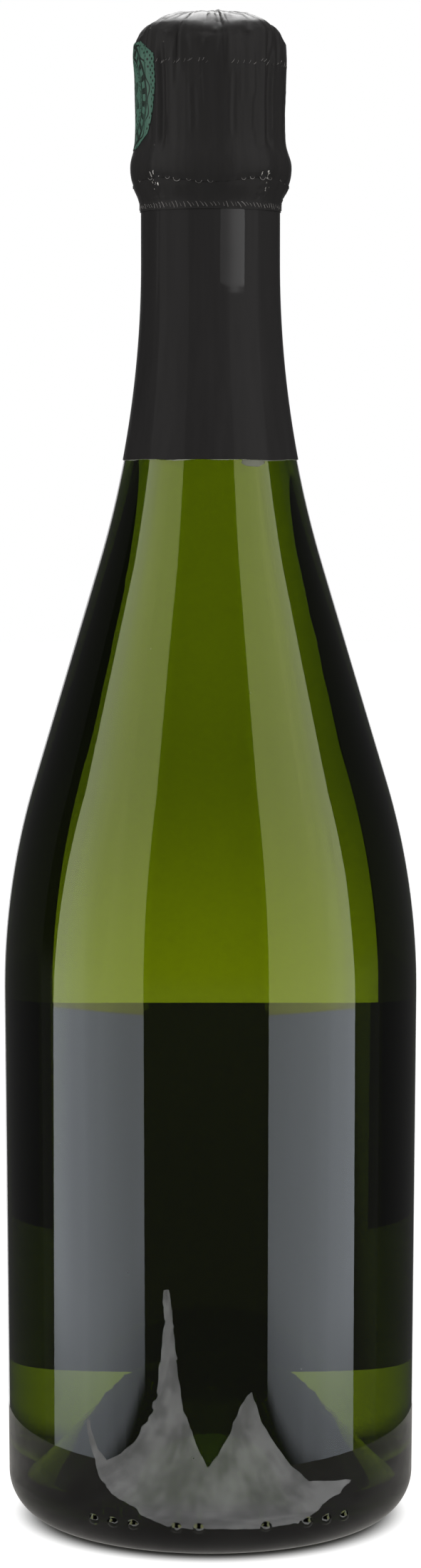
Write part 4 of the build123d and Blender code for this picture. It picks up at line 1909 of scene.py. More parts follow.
@dataclass
class FoilHood:
    """Foil over the cork and the cage, with its paper seal."""

    shape: HoodShape = field(default_factory=HoodShape)
    foil_thickness: float = 0.1 * MM
    columns: int = 400
    seal_turn: float = 185.0
    seal_top: float = 313.9 * MM
    seal_radius: float = 15.9 * MM
    seal_proud: float = 0.05 * MM
    seal_thickness: float = 0.1 * MM
    seal_cut: tuple[Point, ...] = (
        (0.0, 5.6), (3.0, 10.8), (8.5, 10.8), (14.0, 9.9), (19.2, 8.1), (22.2, 3.4),
    )
    seal_rows: int = 46
    seal_columns: int = 60

    def seal_half_width(self, down: float) -> float:
        """Half width of the seal at a distance below its top: cut corners and a narrow foot."""
        downs, widths = zip(*self.seal_cut)
        return float(np.interp(down / MM, downs, widths)) * MM

    def surface(self, turn: float, height: float, proud: float) -> Vector:
        """Place on the hood's side.

        Args:
            turn: Angle, in degrees.
            height: Height on the plain outline.
            proud: Distance off the foil.

        Returns:
            The place.
        """
        angle, r, z = self.shape.bend(turn, radius_at(self.shape.outline(), height), height)
        return spot(angle, r + proud, z)

    def seal(self, paper: SealFinish) -> None:
        """Makes the seal.

        Args:
            paper: Its finish.
        """
        length = self.seal_cut[-1][0] * MM
        proud = self.seal_proud + self.seal_thickness
        vertices, places = [], []
        for row in range(self.seal_rows):
            down = length * row / (self.seal_rows - 1)
            half = self.seal_half_width(down)
            for column in range(self.seal_columns):
                across = half * (2 * column / (self.seal_columns - 1) - 1)
                turn = self.seal_turn + math.degrees(across / self.seal_radius)
                vertices.append(self.surface(turn, self.seal_top - down, proud))
                places.append((across / MM, (length / 2 - down) / MM))
        patch = sheet_object(
            "seal_paper_patch", vertices, self.seal_columns, self.seal_thickness, places=places)
        seat(patch, Body.HOOD, paper.material(), ["seal_patch"])

    def build(self, foil: FoilFinish, seal: SealFinish) -> None:
        """Makes the hood and the seal.

        Args:
            foil: Finish of the hood.
            seal: Finish of the seal.
        """
        hood = turned_object("hood_foil", self.shape.outline(), even_turns(self.columns), self.shape.bend, 60)
        thicken(hood, self.foil_thickness)
        seat(hood, Body.HOOD, foil.material(), ["foil_hood"])
        self.seal(seal)


@dataclass
class NeckFoil:
    """Foil under the hood: the tear strip and the long piece down the neck, with its backing and glue."""

    glass: GlassShape = field(default_factory=GlassShape)
    hood: HoodShape = field(default_factory=HoodShape)
    thickness: float = 0.1 * MM
    gap: float = 0.25 * MM
    strip_side: tuple[Point, ...] = (
        (278.82, 14.79), (279.7, 14.84), (280.6, 14.9), (281.6, 15.2), (282.6, 15.55), (283.6, 15.9),
        (284.74, 16.2),
    )
    strip_top: float = 284.74 * MM
    strip_foot: float = 279.07 * MM
    neck_top: float = 278.97 * MM
    neck_foot: float = 226.9 * MM
    lap_turn: float = 218.0
    columns: int = 320
    backing_gap: float = 0.04 * MM
    backing_thickness: float = 0.06 * MM
    glue_turn: float = 299.0
    glue_width: float = 6.0 * MM
    glue_height: float = 1.9 * MM
    glue_rise: float = -0.5 * MM
    glue_proud: float = 0.1 * MM
    glue_thickness: float = 0.03 * MM

    def strip_bend(self, turn: float, radius: float, height: float) -> Polar:
        """Moves a point of the strip with the torn line and the foil's small creases.

        Args:
            turn: Angle of the point, in degrees.
            radius: Its radius.
            height: Its height.

        Returns:
            The point's new angle, radius and height.
        """
        z = height / MM
        near_edge = smooth_step(281.5 * MM, self.strip_top, height)
        out = 0.05 * ruffle(turn * 0.3, z * 0.3, 2.0)
        for leg in (*self.hood.leg_turns, self.hood.ear_turn):
            away = turn_between(turn, leg)
            out += 0.3 * hump(away, 5.5) * near_edge
            out += 0.22 * hump(away, 8.0) * (abs(ruffle(turn * 0.5, z * 1.2, leg)) - 0.25)
        return turn, radius + out * MM, height + self.hood.edge_shift(turn) * near_edge

    def neck_bend(self, turn: float, radius: float, height: float) -> Polar:
        """Moves a point of the neck foil: its lap, its slack and its uneven cut edge.

        Args:
            turn: Angle of the point, in degrees.
            radius: Its radius.
            height: Its height.

        Returns:
            The point's new angle, radius and height.
        """
        up = height - self.neck_foot
        lap = turn_between(turn, self.lap_turn + 60 * up)
        step = 0.05 * MM * smooth_step(-26, -22, lap) * smooth_step(2, -2, lap)
        slack = 0.02 * MM * ruffle(turn * 0.12, height * 40, 4.0)
        cut = (0.22 * ruffle(turn * 0.05, 0.4) + 0.07 * ruffle(turn * 0.4, 2.4)) * MM
        return turn, radius + step + slack, height + cut * (1 - smooth_step(0.0, 3.0 * MM, up))

    def ragged_bend(self, turn: float, radius: float, height: float) -> Polar:
        """Moves the backing's cut edge with the foil's, and tears its foot.

        Args:
            turn: Angle of the point, in degrees.
            radius: Its radius.
            height: Its height.

        Returns:
            The point's new angle, radius and height.
        """
        _, r, z = self.neck_bend(turn, radius, height)
        foot = 1 - smooth_step(0.0, 0.2 * MM, height - self.backing_heights()[0])
        torn = 0.2 * ruffle(turn * 0.07, 5.0) + 0.1 * ruffle(turn * 0.9, 5.0) + 0.06 * ruffle(turn * 2.7, 8.0)
        return turn, r - 0.02 * MM, z + torn * foot * MM

    def backing_heights(self) -> list[float]:
        """Heights of the rows of the backing, which starts just under the foil's foot."""
        return [self.neck_foot + 0.1 * MM * (i / 4 - 1) for i in range(14)]

    def sleeve(
        self, name: str, outline: Sequence[Point], bend: Bend, thickness: float, columns: int,
    ) -> bpy.types.Object:
        """Makes a thin band round the neck.

        Args:
            name: Name of the piece.
            outline: Radius and height of each row.
            bend: How its points are moved.
            thickness: Its thickness.
            columns: Number of columns.

        Returns:
            The piece.
        """
        band = turned_object(name, outline, even_turns(columns), bend, 60)
        thicken(band, thickness)
        return band

    def backing(self, paper: PaperFinish) -> None:
        """Makes the foil's pale backing, which shows as a ragged line under the cut edge.

        Args:
            paper: Its finish.
        """
        reach = self.gap - self.thickness - self.backing_gap
        outline = [(self.glass.outer_radius(z, reach), z) for z in self.backing_heights()]
        band = self.sleeve(
            "neck_foil_backing", outline, self.ragged_bend, self.backing_thickness, self.columns * 2)
        seat(band, Body.BOTTLE, paper.material())

    def glue(self, finish: GlueFinish) -> None:
        """Makes the dab of glue that has run out under the foil.

        Args:
            finish: Its finish.
        """
        rings, spokes = 8, 48
        vertices = []
        for ring in range(rings + 1):
            share = ring / rings
            for a in (math.radians(turn) for turn in even_turns(spokes)):
                reach = share * (1 + 0.22 * ruffle(math.cos(a) * 1.4, math.sin(a) * 1.4, 3.3))
                across = reach * self.glue_width / 2 * math.cos(a)
                z = self.neck_foot + self.glue_rise + reach * self.glue_height / 2 * math.sin(a)
                proud = 0.02 * MM + self.glue_proud * math.sqrt(max(0.0, 1 - share**2))
                r = self.glass.outer_radius(z) + proud
                vertices.append(spot(self.glue_turn + math.degrees(across / r), r, z))
        dab = sheet_object("foil_glue_dab", vertices, spokes, self.glue_thickness, True)
        seat(dab, Body.BOTTLE, finish.material())

    def build(
        self, worked: FoilFinish, smooth: FoilFinish, paper: PaperFinish, glue: GlueFinish,
    ) -> bpy.types.Object:
        """Makes the strip, the neck foil, its backing and the glue.

        Args:
            worked: Finish of the strip.
            smooth: Finish of the neck foil.
            paper: Finish of the backing.
            glue: Finish of the glue.

        Returns:
            The neck foil.
        """
        side = smooth_outline(self.strip_side, 20)
        strip = self.sleeve("tear_strip_foil", side, self.strip_bend, self.thickness, self.columns)
        seat(strip, Body.BOTTLE, worked.material(), ["tear_strip"])
        self.backing(paper)
        self.glue(glue)
        heights = [self.neck_foot + 0.4 * MM * i for i in range(8)]
        heights += np.linspace(heights[-1] + 1.0 * MM, self.neck_top, 60).tolist()
        outline = [(self.glass.outer_radius(z, self.gap), z) for z in heights]
        skirt = self.sleeve("neck_foil_sleeve", outline, self.neck_bend, self.thickness, self.columns)
        return seat(skirt, Body.BOTTLE, smooth.material(), ["neck_foil"])


@dataclass
class TearTab:
    """Pull tab of the tear strip: a doubled tongue of foil with pressed ribs."""

    inner_radius: float = 17.05 * MM
    thickness: float = 0.2 * MM
    foot_height: float = 281.57 * MM
    top_height: float = 284.07 * MM
    root_turn: float = 58.0
    end_turn: float = 95.4
    end_round: float = 0.9 * MM
    rib_pitch: float = 0.9 * MM
    rib_height: float = 0.03 * MM
    ribbed_length: float = 4.2 * MM
    rows: int = 10
    columns: int = 64

    def build(self, foil: FoilFinish) -> None:
        """Makes the tab.

        Args:
            foil: Its finish.
        """
        middle = (self.foot_height + self.top_height) / 2
        half = (self.top_height - self.foot_height) / 2
        sweep = self.end_turn - self.root_turn
        vertices = []
        for row in range(self.rows):
            share = 2 * row / (self.rows - 1) - 1
            for column in range(self.columns):
                along = column / (self.columns - 1)
                to_end = (1 - along) * math.radians(sweep) * self.inner_radius
                into_round = max(0.0, 1 - to_end / self.end_round)
                narrow = 1 - (self.end_round / half) * (1 - math.sqrt(max(0.0, 1 - into_round**2)))
                ribbed = self.rib_height if to_end < self.ribbed_length else 0.0
                rib = ribbed * math.cos(2 * math.pi * to_end / self.rib_pitch)
                r = self.inner_radius + self.thickness - 0.04 * MM + rib
                vertices.append(spot(self.root_turn + sweep * along, r, middle + share * half * narrow))
        sheet = sheet_object("tear_tab_foil", vertices, self.columns, self.thickness * 0.7)
        seat(sheet, Body.TAB, foil.material(), ["tear_tab"])


@dataclass
class PressedMarks:
    """Rows of small pressed marks round the foil, laid by one geometry tree."""

    hood: FoilHood
    neck: NeckFoil
    seed: int = 5
    nicks: int = 118
    nicks_lost: float = 0.35
    nick_height: float = 309.1
    nick_radius: float = 1.6 * MM
    crescents_lost: float = 0.35
    crescent_rise: float = 0.52
    slits: int = 104
    slit_rise: float = 0.75
    slit_radius: float = 3.0 * MM
    slit_reach: float = 14.93 * MM

    @staticmethod
    @cache
    def tree() -> bpy.types.NodeTree:
        """Small arcs set on points, turned to face out from the axis.

        Returns:
            The tree.
        """
        tree = PieceTree("Pressed marks", {
            "Arc Radius": (FLOAT, 0.8 * MM),
            "Start": (FLOAT, math.pi),
            "Sweep": (FLOAT, math.pi),
            "Ridge": (FLOAT, 0.07 * MM),
            "Tilt": (FLOAT, 0.0),
            "Spread": (FLOAT, 0.2),
            "Shift": (VECTOR, None),
            "Smallest": (FLOAT, 0.6),
            "Seed": (COUNT, 1),
        })
        given = tree.given
        arc = tree.add("GeometryNodeCurveArc", {
            "Resolution": 7,
            "Radius": given["Arc Radius"],
            "Start Angle": given["Start"],
            "Sweep Angle": given["Sweep"],
        })
        ridge = tree.sweep(arc.outputs[0], 4, given["Ridge"])
        centred = tree.add("GeometryNodeTransform", {"Geometry": ridge, "Translation": given["Shift"]})
        size = tree.random(given["Smallest"], 1.1, tree.plus(given["Seed"], 7.0))
        shaken = tree.random(tree.times(given["Spread"], -1.0), given["Spread"], given["Seed"])
        return tree.close(tree.stand_on_points(centred, tree.plus(given["Tilt"], shaken), size))

    def row(
        self,
        name: str,
        points: Sequence[Vector],
        body: Body,
        foil: bpy.types.Material,
        values: dict[str, Any],
    ) -> None:
        """Makes one row of marks on its body.

        Args:
            name: Name of the piece.
            points: Place of each mark.
            body: The body that they move with.
            foil: Their material.
            values: Inputs of the marks' tree.
        """
        piece = points_object(name, points)
        run_tree(piece, self.tree(), {**values, "Seed": self.seed, "Material": foil})
        seat(piece, body, foil)

    def build(self, foil: MetalFinish) -> None:
        """Makes the nicks near the top, the crescents over the strip and the slits under it.

        Args:
            foil: Finish of the pressed edges.
        """
        material = foil.material()
        rng = random.Random(self.seed)
        shape = self.hood.shape
        nicks = []
        for turn in even_turns(self.nicks):
            if rng.random() < self.nicks_lost:
                continue
            height = (self.nick_height + rng.uniform(-0.5, 0.5)) * MM
            nicks.append(self.hood.surface(turn + rng.uniform(-1.2, 1.2), height, -0.02 * MM))
        self.row("hood_nicks", nicks, Body.HOOD, material, {
            "Arc Radius": self.nick_radius, "Start": -0.35, "Sweep": 0.7, "Ridge": 0.08 * MM,
            "Tilt": -0.7, "Spread": 0.35, "Shift": (-self.nick_radius, 0.0, 0.0)})
        foot_radius = shape.outline()[0][0] + 0.1 * MM
        crescents = []
        for turn in shape.scallop_turns():
            if rng.random() < self.crescents_lost:
                continue
            height = shape.foot_height + (self.crescent_rise + rng.uniform(-0.05, 0.05)) * MM
            crescents.append(spot(*shape.bend(turn, foot_radius, height)))
        self.row("hood_crescents", crescents, Body.HOOD, material, {
            "Arc Radius": 0.8 * MM, "Start": math.pi * 1.08, "Sweep": math.pi * 0.84, "Ridge": 0.11 * MM,
            "Spread": 0.45, "Shift": (0.0, -0.15 * MM, 0.0)})
        slits = []
        for turn in even_turns(self.slits):
            height = self.neck.strip_foot + (self.slit_rise + rng.uniform(-0.12, 0.12)) * MM
            slits.append(spot(*self.neck.strip_bend(turn + rng.uniform(-0.4, 0.4), self.slit_reach, height)))
        self.row("strip_slits", slits, Body.BOTTLE, material, {
            "Arc Radius": self.slit_radius, "Start": -0.22, "Sweep": 0.44, "Ridge": 0.09 * MM,
            "Tilt": 0.6, "Spread": 0.25, "Shift": (-self.slit_radius, 0.0, 0.0)})


# Closure


def bent_path(corners: Sequence[Point], radii: Sequence[float], turn: float) -> list[Vector]:
    """Path in the half plane at an angle, with rounded corners."""
    return [spot(turn, r, z) for r, z in rounded_points(corners, radii, 6)]


@dataclass
class Cage:
    """Wire cage: twisted legs with their top ring and eyes, the belt with its loop, and the cap plate."""

    glass: GlassShape = field(default_factory=GlassShape)
    leg_turns: tuple[float, ...] = (45.0, 135.0, 225.0, 315.0)
    leg_radius: float = 0.55 * MM
    leg_pitch: float = 3.4 * MM
    stem_pitch: float = 2.6 * MM
    side_radius: float = 14.65 * MM
    ring_radius: float = 15.85 * MM
    top_radius: float = 11.4 * MM
    top_height: float = 317.22 * MM
    top_twists: int = 22
    slope_top: float = 292.57 * MM
    slope_length: float = 2.4 * MM
    foot_height: float = 284.84 * MM
    bend_radius: float = 1.6 * MM
    belt_radius: float = 14.85 * MM
    belt_height: float = 283.67 * MM
    belt_wire_radius: float = 0.45 * MM
    eye_reach: float = 0.8 * MM
    eye_wire_radius: float = 0.3 * MM
    ear_radius: float = 15.85 * MM
    ear_side_radius: float = 14.45 * MM
    ear_stem_length: float = 8.6 * MM
    ear_loop_radius: float = 3.0 * MM
    plate_under: float = 316.32 * MM
    plate_thickness: float = 0.3 * MM
    plate_radius: float = 13.9 * MM
    plate_skirt: float = 1.9 * MM
    dish_radius: float = 8.6 * MM
    dish_slope: float = 1.2 * MM
    dish_depth: float = 0.5 * MM
    bead_height: float = 0.12 * MM

    def legs(self, steel: bpy.types.Material) -> None:
        """Makes the twisted legs and the ring that joins them over the plate.

        Args:
            steel: The wire's material.
        """
        corners = [
            (self.top_radius, self.top_height),
            (self.side_radius, self.top_height),
            (self.side_radius, self.slope_top),
            (self.ring_radius, self.slope_top - self.slope_length),
            (self.ring_radius, self.foot_height),
        ]
        wire = Wire(self.leg_radius, wound=True, pitch=self.leg_pitch)
        paths = [bent_path(corners, [self.bend_radius] * 3, turn) for turn in self.leg_turns]
        seat(wire.run("cage_legs", paths, steel), Body.CAGE, steel, ["cage_frame"])
        wire = replace(wire, pitch=2 * math.pi * self.top_radius / self.top_twists)
        circle = ring_points(self.top_radius, self.top_height, 96)
        seat(wire.run("cage_top_ring", [circle], steel, True), Body.CAGE, steel)

    def eye_paths(self, turn: float) -> list[list[Vector]]:
        """One leg's open eye round the belt wire, and its two turns of wrapped wire.

        Args:
            turn: Angle of the leg, in degrees.

        Returns:
            The places along the eye, and those along the wrapping.
        """
        eye, wrap = [], []
        for b in (math.radians(-62 + 304 * i / 25) for i in range(26)):
            r = self.belt_radius + self.eye_reach * math.sin(b)
            z = self.belt_height - self.eye_reach * math.cos(b) * 0.98
            eye.append(spot(turn, r, min(z, self.foot_height - 0.35 * MM)))
        a = math.radians(turn)
        reach = self.leg_radius * 0.7
        for share in (i / 29 for i in range(30)):
            b = 2 * math.pi * 2 * share
            side = reach * math.sin(b)
            middle = spot(turn, self.ring_radius + reach * math.cos(b) - 0.12 * MM, 0.0)
            z = self.foot_height + (1.1 * share - 0.55) * MM
            wrap.append(middle + Vector((-side * math.sin(a), side * math.cos(a), z)))
        return [eye, wrap]

    def belt(self, steel: bpy.types.Material) -> None:
        """Makes the belt wire, its twisted stem and the loop folded up beside the neck.

        Args:
            steel: The wire's material.
        """
        circle = ring_points(self.belt_radius, self.belt_height, 120)
        belt = Wire(self.belt_wire_radius, 0.6 * MM).run("cage_belt", [circle], steel, True)
        seat(belt, Body.CAGE, steel, ["belt_wire"])
        stem_top = self.belt_height + self.ear_stem_length
        corners = [
            (self.belt_radius, self.belt_height),
            (self.ear_radius, self.belt_height),
            (self.ear_radius, self.glass.ring_top_height),
            (self.ear_side_radius, stem_top),
        ]
        wire = Wire(self.leg_radius, wound=True, pitch=self.stem_pitch)
        stem = wire.run("cage_ear_stem", [bent_path(corners, [0.35 * MM, 1.2 * MM], 0)], steel)
        seat(stem, Body.CAGE, steel)
        path = []
        for i in range(41):
            turned = 360 * i / 40
            b = math.radians(turned - 90)
            pinch = 1 - 0.25 * hump(min(turned, 360 - turned), 40)
            across = self.ear_loop_radius * math.cos(b) * pinch
            up = self.ear_loop_radius * (1 + math.sin(b))
            path.append(Vector((self.ear_side_radius, across, stem_top + up)))
        loop = Wire(self.belt_wire_radius).run("cage_ear_loop", [path], steel)
        seat(loop, Body.CAGE, steel)

    def plate_bend(self, turn: float, radius: float, height: float) -> Polar:
        """Presses a seat for each leg and a ring of flutes into the plate.

        Args:
            turn: Angle of the point, in degrees.
            radius: Its radius.
            height: Its height.

        Returns:
            The point's new angle, radius and height.
        """
        seats = [hump(math.radians(turn_between(turn, leg)) * radius, 0.9 * MM) for leg in self.leg_turns]
        flutes = math.cos(math.radians(turn * 24)) * hump(radius - 6.2 * MM, 1.6 * MM)
        press = 0.07 * flutes - 0.12 * sum(seats) * smooth_step(10.4 * MM, 11.6 * MM, radius)
        return turn, radius, height + press * MM

    def plate(self, enamel: bpy.types.Material) -> None:
        """Makes the dished cap plate with pressed rings and a rolled edge.

        Args:
            enamel: Its material.
        """
        top = self.plate_under + self.plate_thickness
        dish, groove = top + self.dish_depth, top + self.dish_depth - self.bead_height
        dish_edge = self.dish_radius + self.dish_slope
        rim = [
            (dish_edge + 0.4 * MM, top),
            (self.plate_radius, top),
            (self.plate_radius, self.plate_under - self.plate_skirt),
        ]
        outline = [(0.0, groove), (2.2 * MM, dish), (2.7 * MM, groove), (3.2 * MM, dish)]
        outline += [(self.dish_radius * (0.45 + 0.5 * i / 16), dish) for i in range(17)]
        outline += [(self.dish_radius, dish), (dish_edge, top), *rounded_points(rim, [0.8 * MM], 6)]
        sheet = turned_object("cap_plate_enamelled", outline, even_turns(192), self.plate_bend, 40)
        thicken(sheet, self.plate_thickness * 0.8)
        seat(sheet, Body.CAGE, enamel, ["cap_plate"])

    def build(self, wire: MetalFinish, enamel: EnamelFinish) -> None:
        """Makes the whole cage.

        Args:
            wire: Finish of the wires.
            enamel: Finish of the cap plate.
        """
        steel = wire.material()
        self.legs(steel)
        paths = [path for turn in self.leg_turns for path in self.eye_paths(turn)]
        eyes = Wire(self.eye_wire_radius * 0.85, 0.2 * MM).run("cage_eyes", paths, steel)
        seat(eyes, Body.CAGE, steel, ["leg_eyes"])
        self.belt(steel)
        self.plate(enamel.material())


@dataclass
class Cork:
    """Mushroom cork: a squeezed shank of granules, two whole discs at its foot and the swollen head."""

    glass: GlassShape = field(default_factory=GlassShape)
    seated_length: float = 25.0 * MM
    disc_thickness: float = 5.5 * MM
    shank_radius: float = 8.7 * MM
    head_radius: float = 13.4 * MM
    head_height: float = 16.0 * MM
    head_clearance: float = 0.1 * MM
    collar: float = 1.2 * MM
    head_round: float = 2.4 * MM
    edge_round: float = 0.35 * MM
    pit_depth: float = 0.09 * MM
    sunk: float = 0.02 * MM
    columns: int = 160

    def worn(self, turn: float, radius: float, height: float) -> Polar:
        """Pits the cork's surface a little, inwards only."""
        pit = (ruffle(turn * 0.22, height * 900, 3.0) + ruffle(turn * 0.8, height * 2400, 6.0)) / 2
        return turn, radius - self.pit_depth * max(0.0, pit) - self.sunk, height

    def turned(self, name: str, outline: Sequence[Point], step: float) -> bpy.types.Object:
        """Turns a worn piece of cork from an outline, cut into steps."""
        return turned_object(name, dense(outline, step), even_turns(self.columns), self.worn, 50)

    def disc(self, name: str, node: str, foot: float, finish: bpy.types.Material) -> None:
        """Makes one disc.

        Args:
            name: Name of the piece.
            node: CAD node that it stands for.
            foot: Height of its foot.
            finish: Its material.
        """
        top = foot + self.disc_thickness
        corners = [(0.0, foot), (self.shank_radius, foot), (self.shank_radius, top), (0.0, top)]
        rounded = rounded_points(corners, [self.edge_round, self.edge_round])
        seat(self.turned(name, rounded, 0.6 * MM), Body.CORK, finish, [node])

    def build(self, granules: CorkFinish, whole: CorkFinish) -> None:
        """Makes the cork.

        Args:
            granules: Finish of its body.
            whole: Finish of its discs.
        """
        foot = self.glass.glass_height - self.seated_length
        whole_material = whole.material()
        self.disc("cork_disc_low", "cork_disc_lower", foot, whole_material)
        self.disc("cork_disc_high", "cork_disc_upper", foot + self.disc_thickness, whole_material)
        body_foot = foot + 2 * self.disc_thickness
        head_foot = self.glass.glass_height + self.head_clearance
        top = head_foot + self.head_height
        corners = [
            (0.0, body_foot),
            (self.shank_radius, body_foot),
            (self.shank_radius, head_foot),
            (self.head_radius - self.collar, head_foot),
            (self.head_radius, head_foot + self.collar),
            (self.head_radius, top),
            (0.0, top),
        ]
        radii = [self.edge_round, 0.0, self.collar / 2, self.collar / 2, self.head_round]
        body = self.turned("cork_granules", rounded_points(corners, radii), 0.7 * MM)
        seat(body, Body.CORK, granules.material(), ["cork_body"])


# Studio


@dataclass(frozen=True)
class Lens:
    """The photograph's camera, which sees the bottle from -Y and a little above its middle."""

    distance: float = 0.850
    height: float = 0.228
    tilt: float = math.radians(4.72)
    focal_length: float = 91.7
    sensor: float = 36.0
    clip_start: float = 10 * MM
    picture: tuple[int, int] = (591, 2200)

    @property
    def eye(self) -> Vector:
        """Place of the camera."""
        return Vector((0.0, -self.distance, self.height))

    def ray(self, column: float, row: float) -> Vector:
        """Direction from the camera through a pixel of the photograph.

        Args:
            column: The pixel's column.
            row: Its row.

        Returns:
            The direction.
        """
        width, height = self.picture
        scale = self.sensor / (self.focal_length * height)
        across = (column - width / 2) * scale
        up = (height / 2 - row) * scale
        forward = Vector((0.0, math.cos(self.tilt), -math.sin(self.tilt)))
        upward = Vector((0.0, math.sin(self.tilt), math.cos(self.tilt)))
        return (forward + upward * up + Vector((across, 0.0, 0.0))).normalized()

    def add(self) -> None:
        """Adds the camera to the scene."""
        data = bpy.data.cameras.new("camera")
        data.lens = self.focal_length
        data.sensor_width = self.sensor
        data.clip_start = self.clip_start
        camera = bpy.data.objects.new("camera", data)
        camera.location = self.eye
        camera.rotation_euler = (math.pi / 2 - self.tilt, 0.0, 0.0)
        bpy.context.scene.collection.objects.link(camera)
        bpy.context.scene.camera = camera


def soft_lamp(
    name: str, turn: float, half_span: float, distance: float, height: float, middle_height: float,
) -> tuple[bpy.types.Object, Tree]:
    """Adds an upright rectangular lamp that faces the bottle and that the camera doesn't see.

    Args:
        name: Name of the lamp.
        turn: Angle of its middle to the right of the camera, in radians.
        half_span: Half of the angle that it fills as seen from the bottle, in radians.
        distance: Its distance from the axis.
        height: Its own height.
        middle_height: Height of its middle above the table.

    Returns:
        The lamp and its node tree.
    """
    data = bpy.data.lights.new(name, "AREA")
    data.shape = "RECTANGLE"
    data.size = 2 * distance * math.tan(half_span)
    data.size_y = height
    data.energy = math.pi * data.size * data.size_y
    data.use_nodes = True
    towards = Vector((math.sin(turn), -math.cos(turn), 0.0))
    lamp = bpy.data.objects.new(name, data)
    lamp.location = towards * distance + Vector((0.0, 0.0, middle_height))
    lamp.rotation_mode = "QUATERNION"
    lamp.rotation_quaternion = towards.to_track_quat("Z", "Y")
    lamp.visible_camera = False
    bpy.context.scene.collection.objects.link(lamp)
    return lamp, Tree(data.node_tree)


@dataclass(frozen=True)
class SoftPanel:
    """A tall soft light beside the bottle, given by the angles that it fills as seen from the bottle."""

    name: str
    side: int
    inner: float
    outer: float
    inner_strength: float = 1.75
    outer_strength: float = 2.7
    outer_lean: float = 16.0
    spare_span: float = 4.0
    distance: float = 1.1
    height: float = 2.4
    middle_height: float = 0.18
    low_colour: Colour = (0.95, 1.02, 1.12)
    high_colour: Colour = (1.05, 1.1, 0.5)
    tint_foot: float = 127.0 * MM
    tint_fall: float = 0.148
    tint_blur: float = 0.008
    outer_tint: float = 0.32
    paler_span: tuple[float, float] = (60.0, 90.0)
    foot_height: float = -0.278
    foot_drop: float = 0.035
    foot_blur: float = 0.012
    drop_span: tuple[float, float] = (60.0, 78.0)
    dim_heights: tuple[float, float] = (-0.29, -0.19)
    dim: float = 0.55
    cloth_share: float = 0.3

    def strength(self, tree: Tree, place: Any, azimuth: Any, height: Any) -> Socket:
        """Strength of the light, with its slanted outer edge, its fall-off and its uneven cloth.

        Args:
            tree: The lamp's tree.
            place: The lit place.
            azimuth: Its angle from the camera, in radians.
            height: Its height.

        Returns:
            The strength.
        """
        inner, outer = math.radians(self.inner), math.radians(self.outer)
        limit = tree.scaled(height, -math.radians(self.outer_lean), outer)
        inside = tree.minus(1.0, tree.above(azimuth, limit))
        strength = tree.ramp(azimuth, inner, outer, self.inner_strength, self.outer_strength)
        drop = tree.ramp(azimuth, *map(math.radians, self.drop_span), 0.0, self.foot_drop)
        low, high = self.foot_height - self.foot_blur, self.foot_height + self.foot_blur
        foot = tree.ramp(tree.plus(height, drop), low, high)
        fade = tree.times(foot, tree.ramp(height, *self.dim_heights, self.dim, 1.0))
        cloth = tree.noise(tree.vector("MULTIPLY", place, (1.0, 1.0, 0.2)), 9.0, 3.0)
        even = tree.scaled(cloth, self.cloth_share, 1.0 - self.cloth_share / 2)
        return tree.times(tree.times(tree.times(strength, fade), even), inside)

    def tint(self, tree: Tree, azimuth: Any, height: Any, middle: float) -> Socket:
        """Colour of the light, which changes at a line that the glass mirrors as level.

        Args:
            tree: The lamp's tree.
            azimuth: Angle of the lit place from the camera, in radians.
            height: Its height.
            middle: Angle of the lamp's middle, in radians.

        Returns:
            The colour.
        """
        path = tree.over(self.distance, tree.math("COSINE", tree.minus(azimuth, middle)))
        tint_line = tree.scaled(path, -self.tint_fall, self.tint_foot)
        paler = tree.ramp(azimuth, *map(math.radians, self.paler_span), 1.0, 1.0 - self.outer_tint)
        share = tree.times(tree.ramp(tree.minus(height, tint_line), 0.0, self.tint_blur), paler)
        return tree.mix(share, self.low_colour, self.high_colour)

    def add(self) -> bpy.types.Object:
        """Adds the lamp.

        Returns:
            The lamp.
        """
        outer = self.outer + self.spare_span
        middle = math.radians((self.inner + outer) / 2)
        half_span = math.radians((outer - self.inner) / 2)
        lamp, tree = soft_lamp(
            self.name, self.side * middle, half_span, self.distance, self.height, self.middle_height)
        place = tree.add("ShaderNodeNewGeometry").outputs["Position"]
        x, y, height = tree.split(place)
        azimuth = tree.angle(tree.size(x), tree.times(y, -1.0))
        tree.set(tree.tree.nodes["Emission"], {
            "Strength": self.strength(tree, place, azimuth, height),
            "Color": self.tint(tree, azimuth, height, middle),
        })
        return lamp


def light_only(lamp: bpy.types.Object, pieces: Sequence[bpy.types.Object], include: bool = True) -> None:
    """Lets a lamp reach only some pieces, or all but those.

    Args:
        lamp: The lamp.
        pieces: The pieces that are named.
        include: Whether the named pieces are the only ones lit.
    """
    receivers = bpy.data.collections.new(f"{lamp.name}_receivers")
    for piece in pieces:
        receivers.objects.link(piece)
    lamp.light_linking.receiver_collection = receivers
    for entry in receivers.collection_objects:
        entry.light_linking.link_state = "INCLUDE" if include else "EXCLUDE"


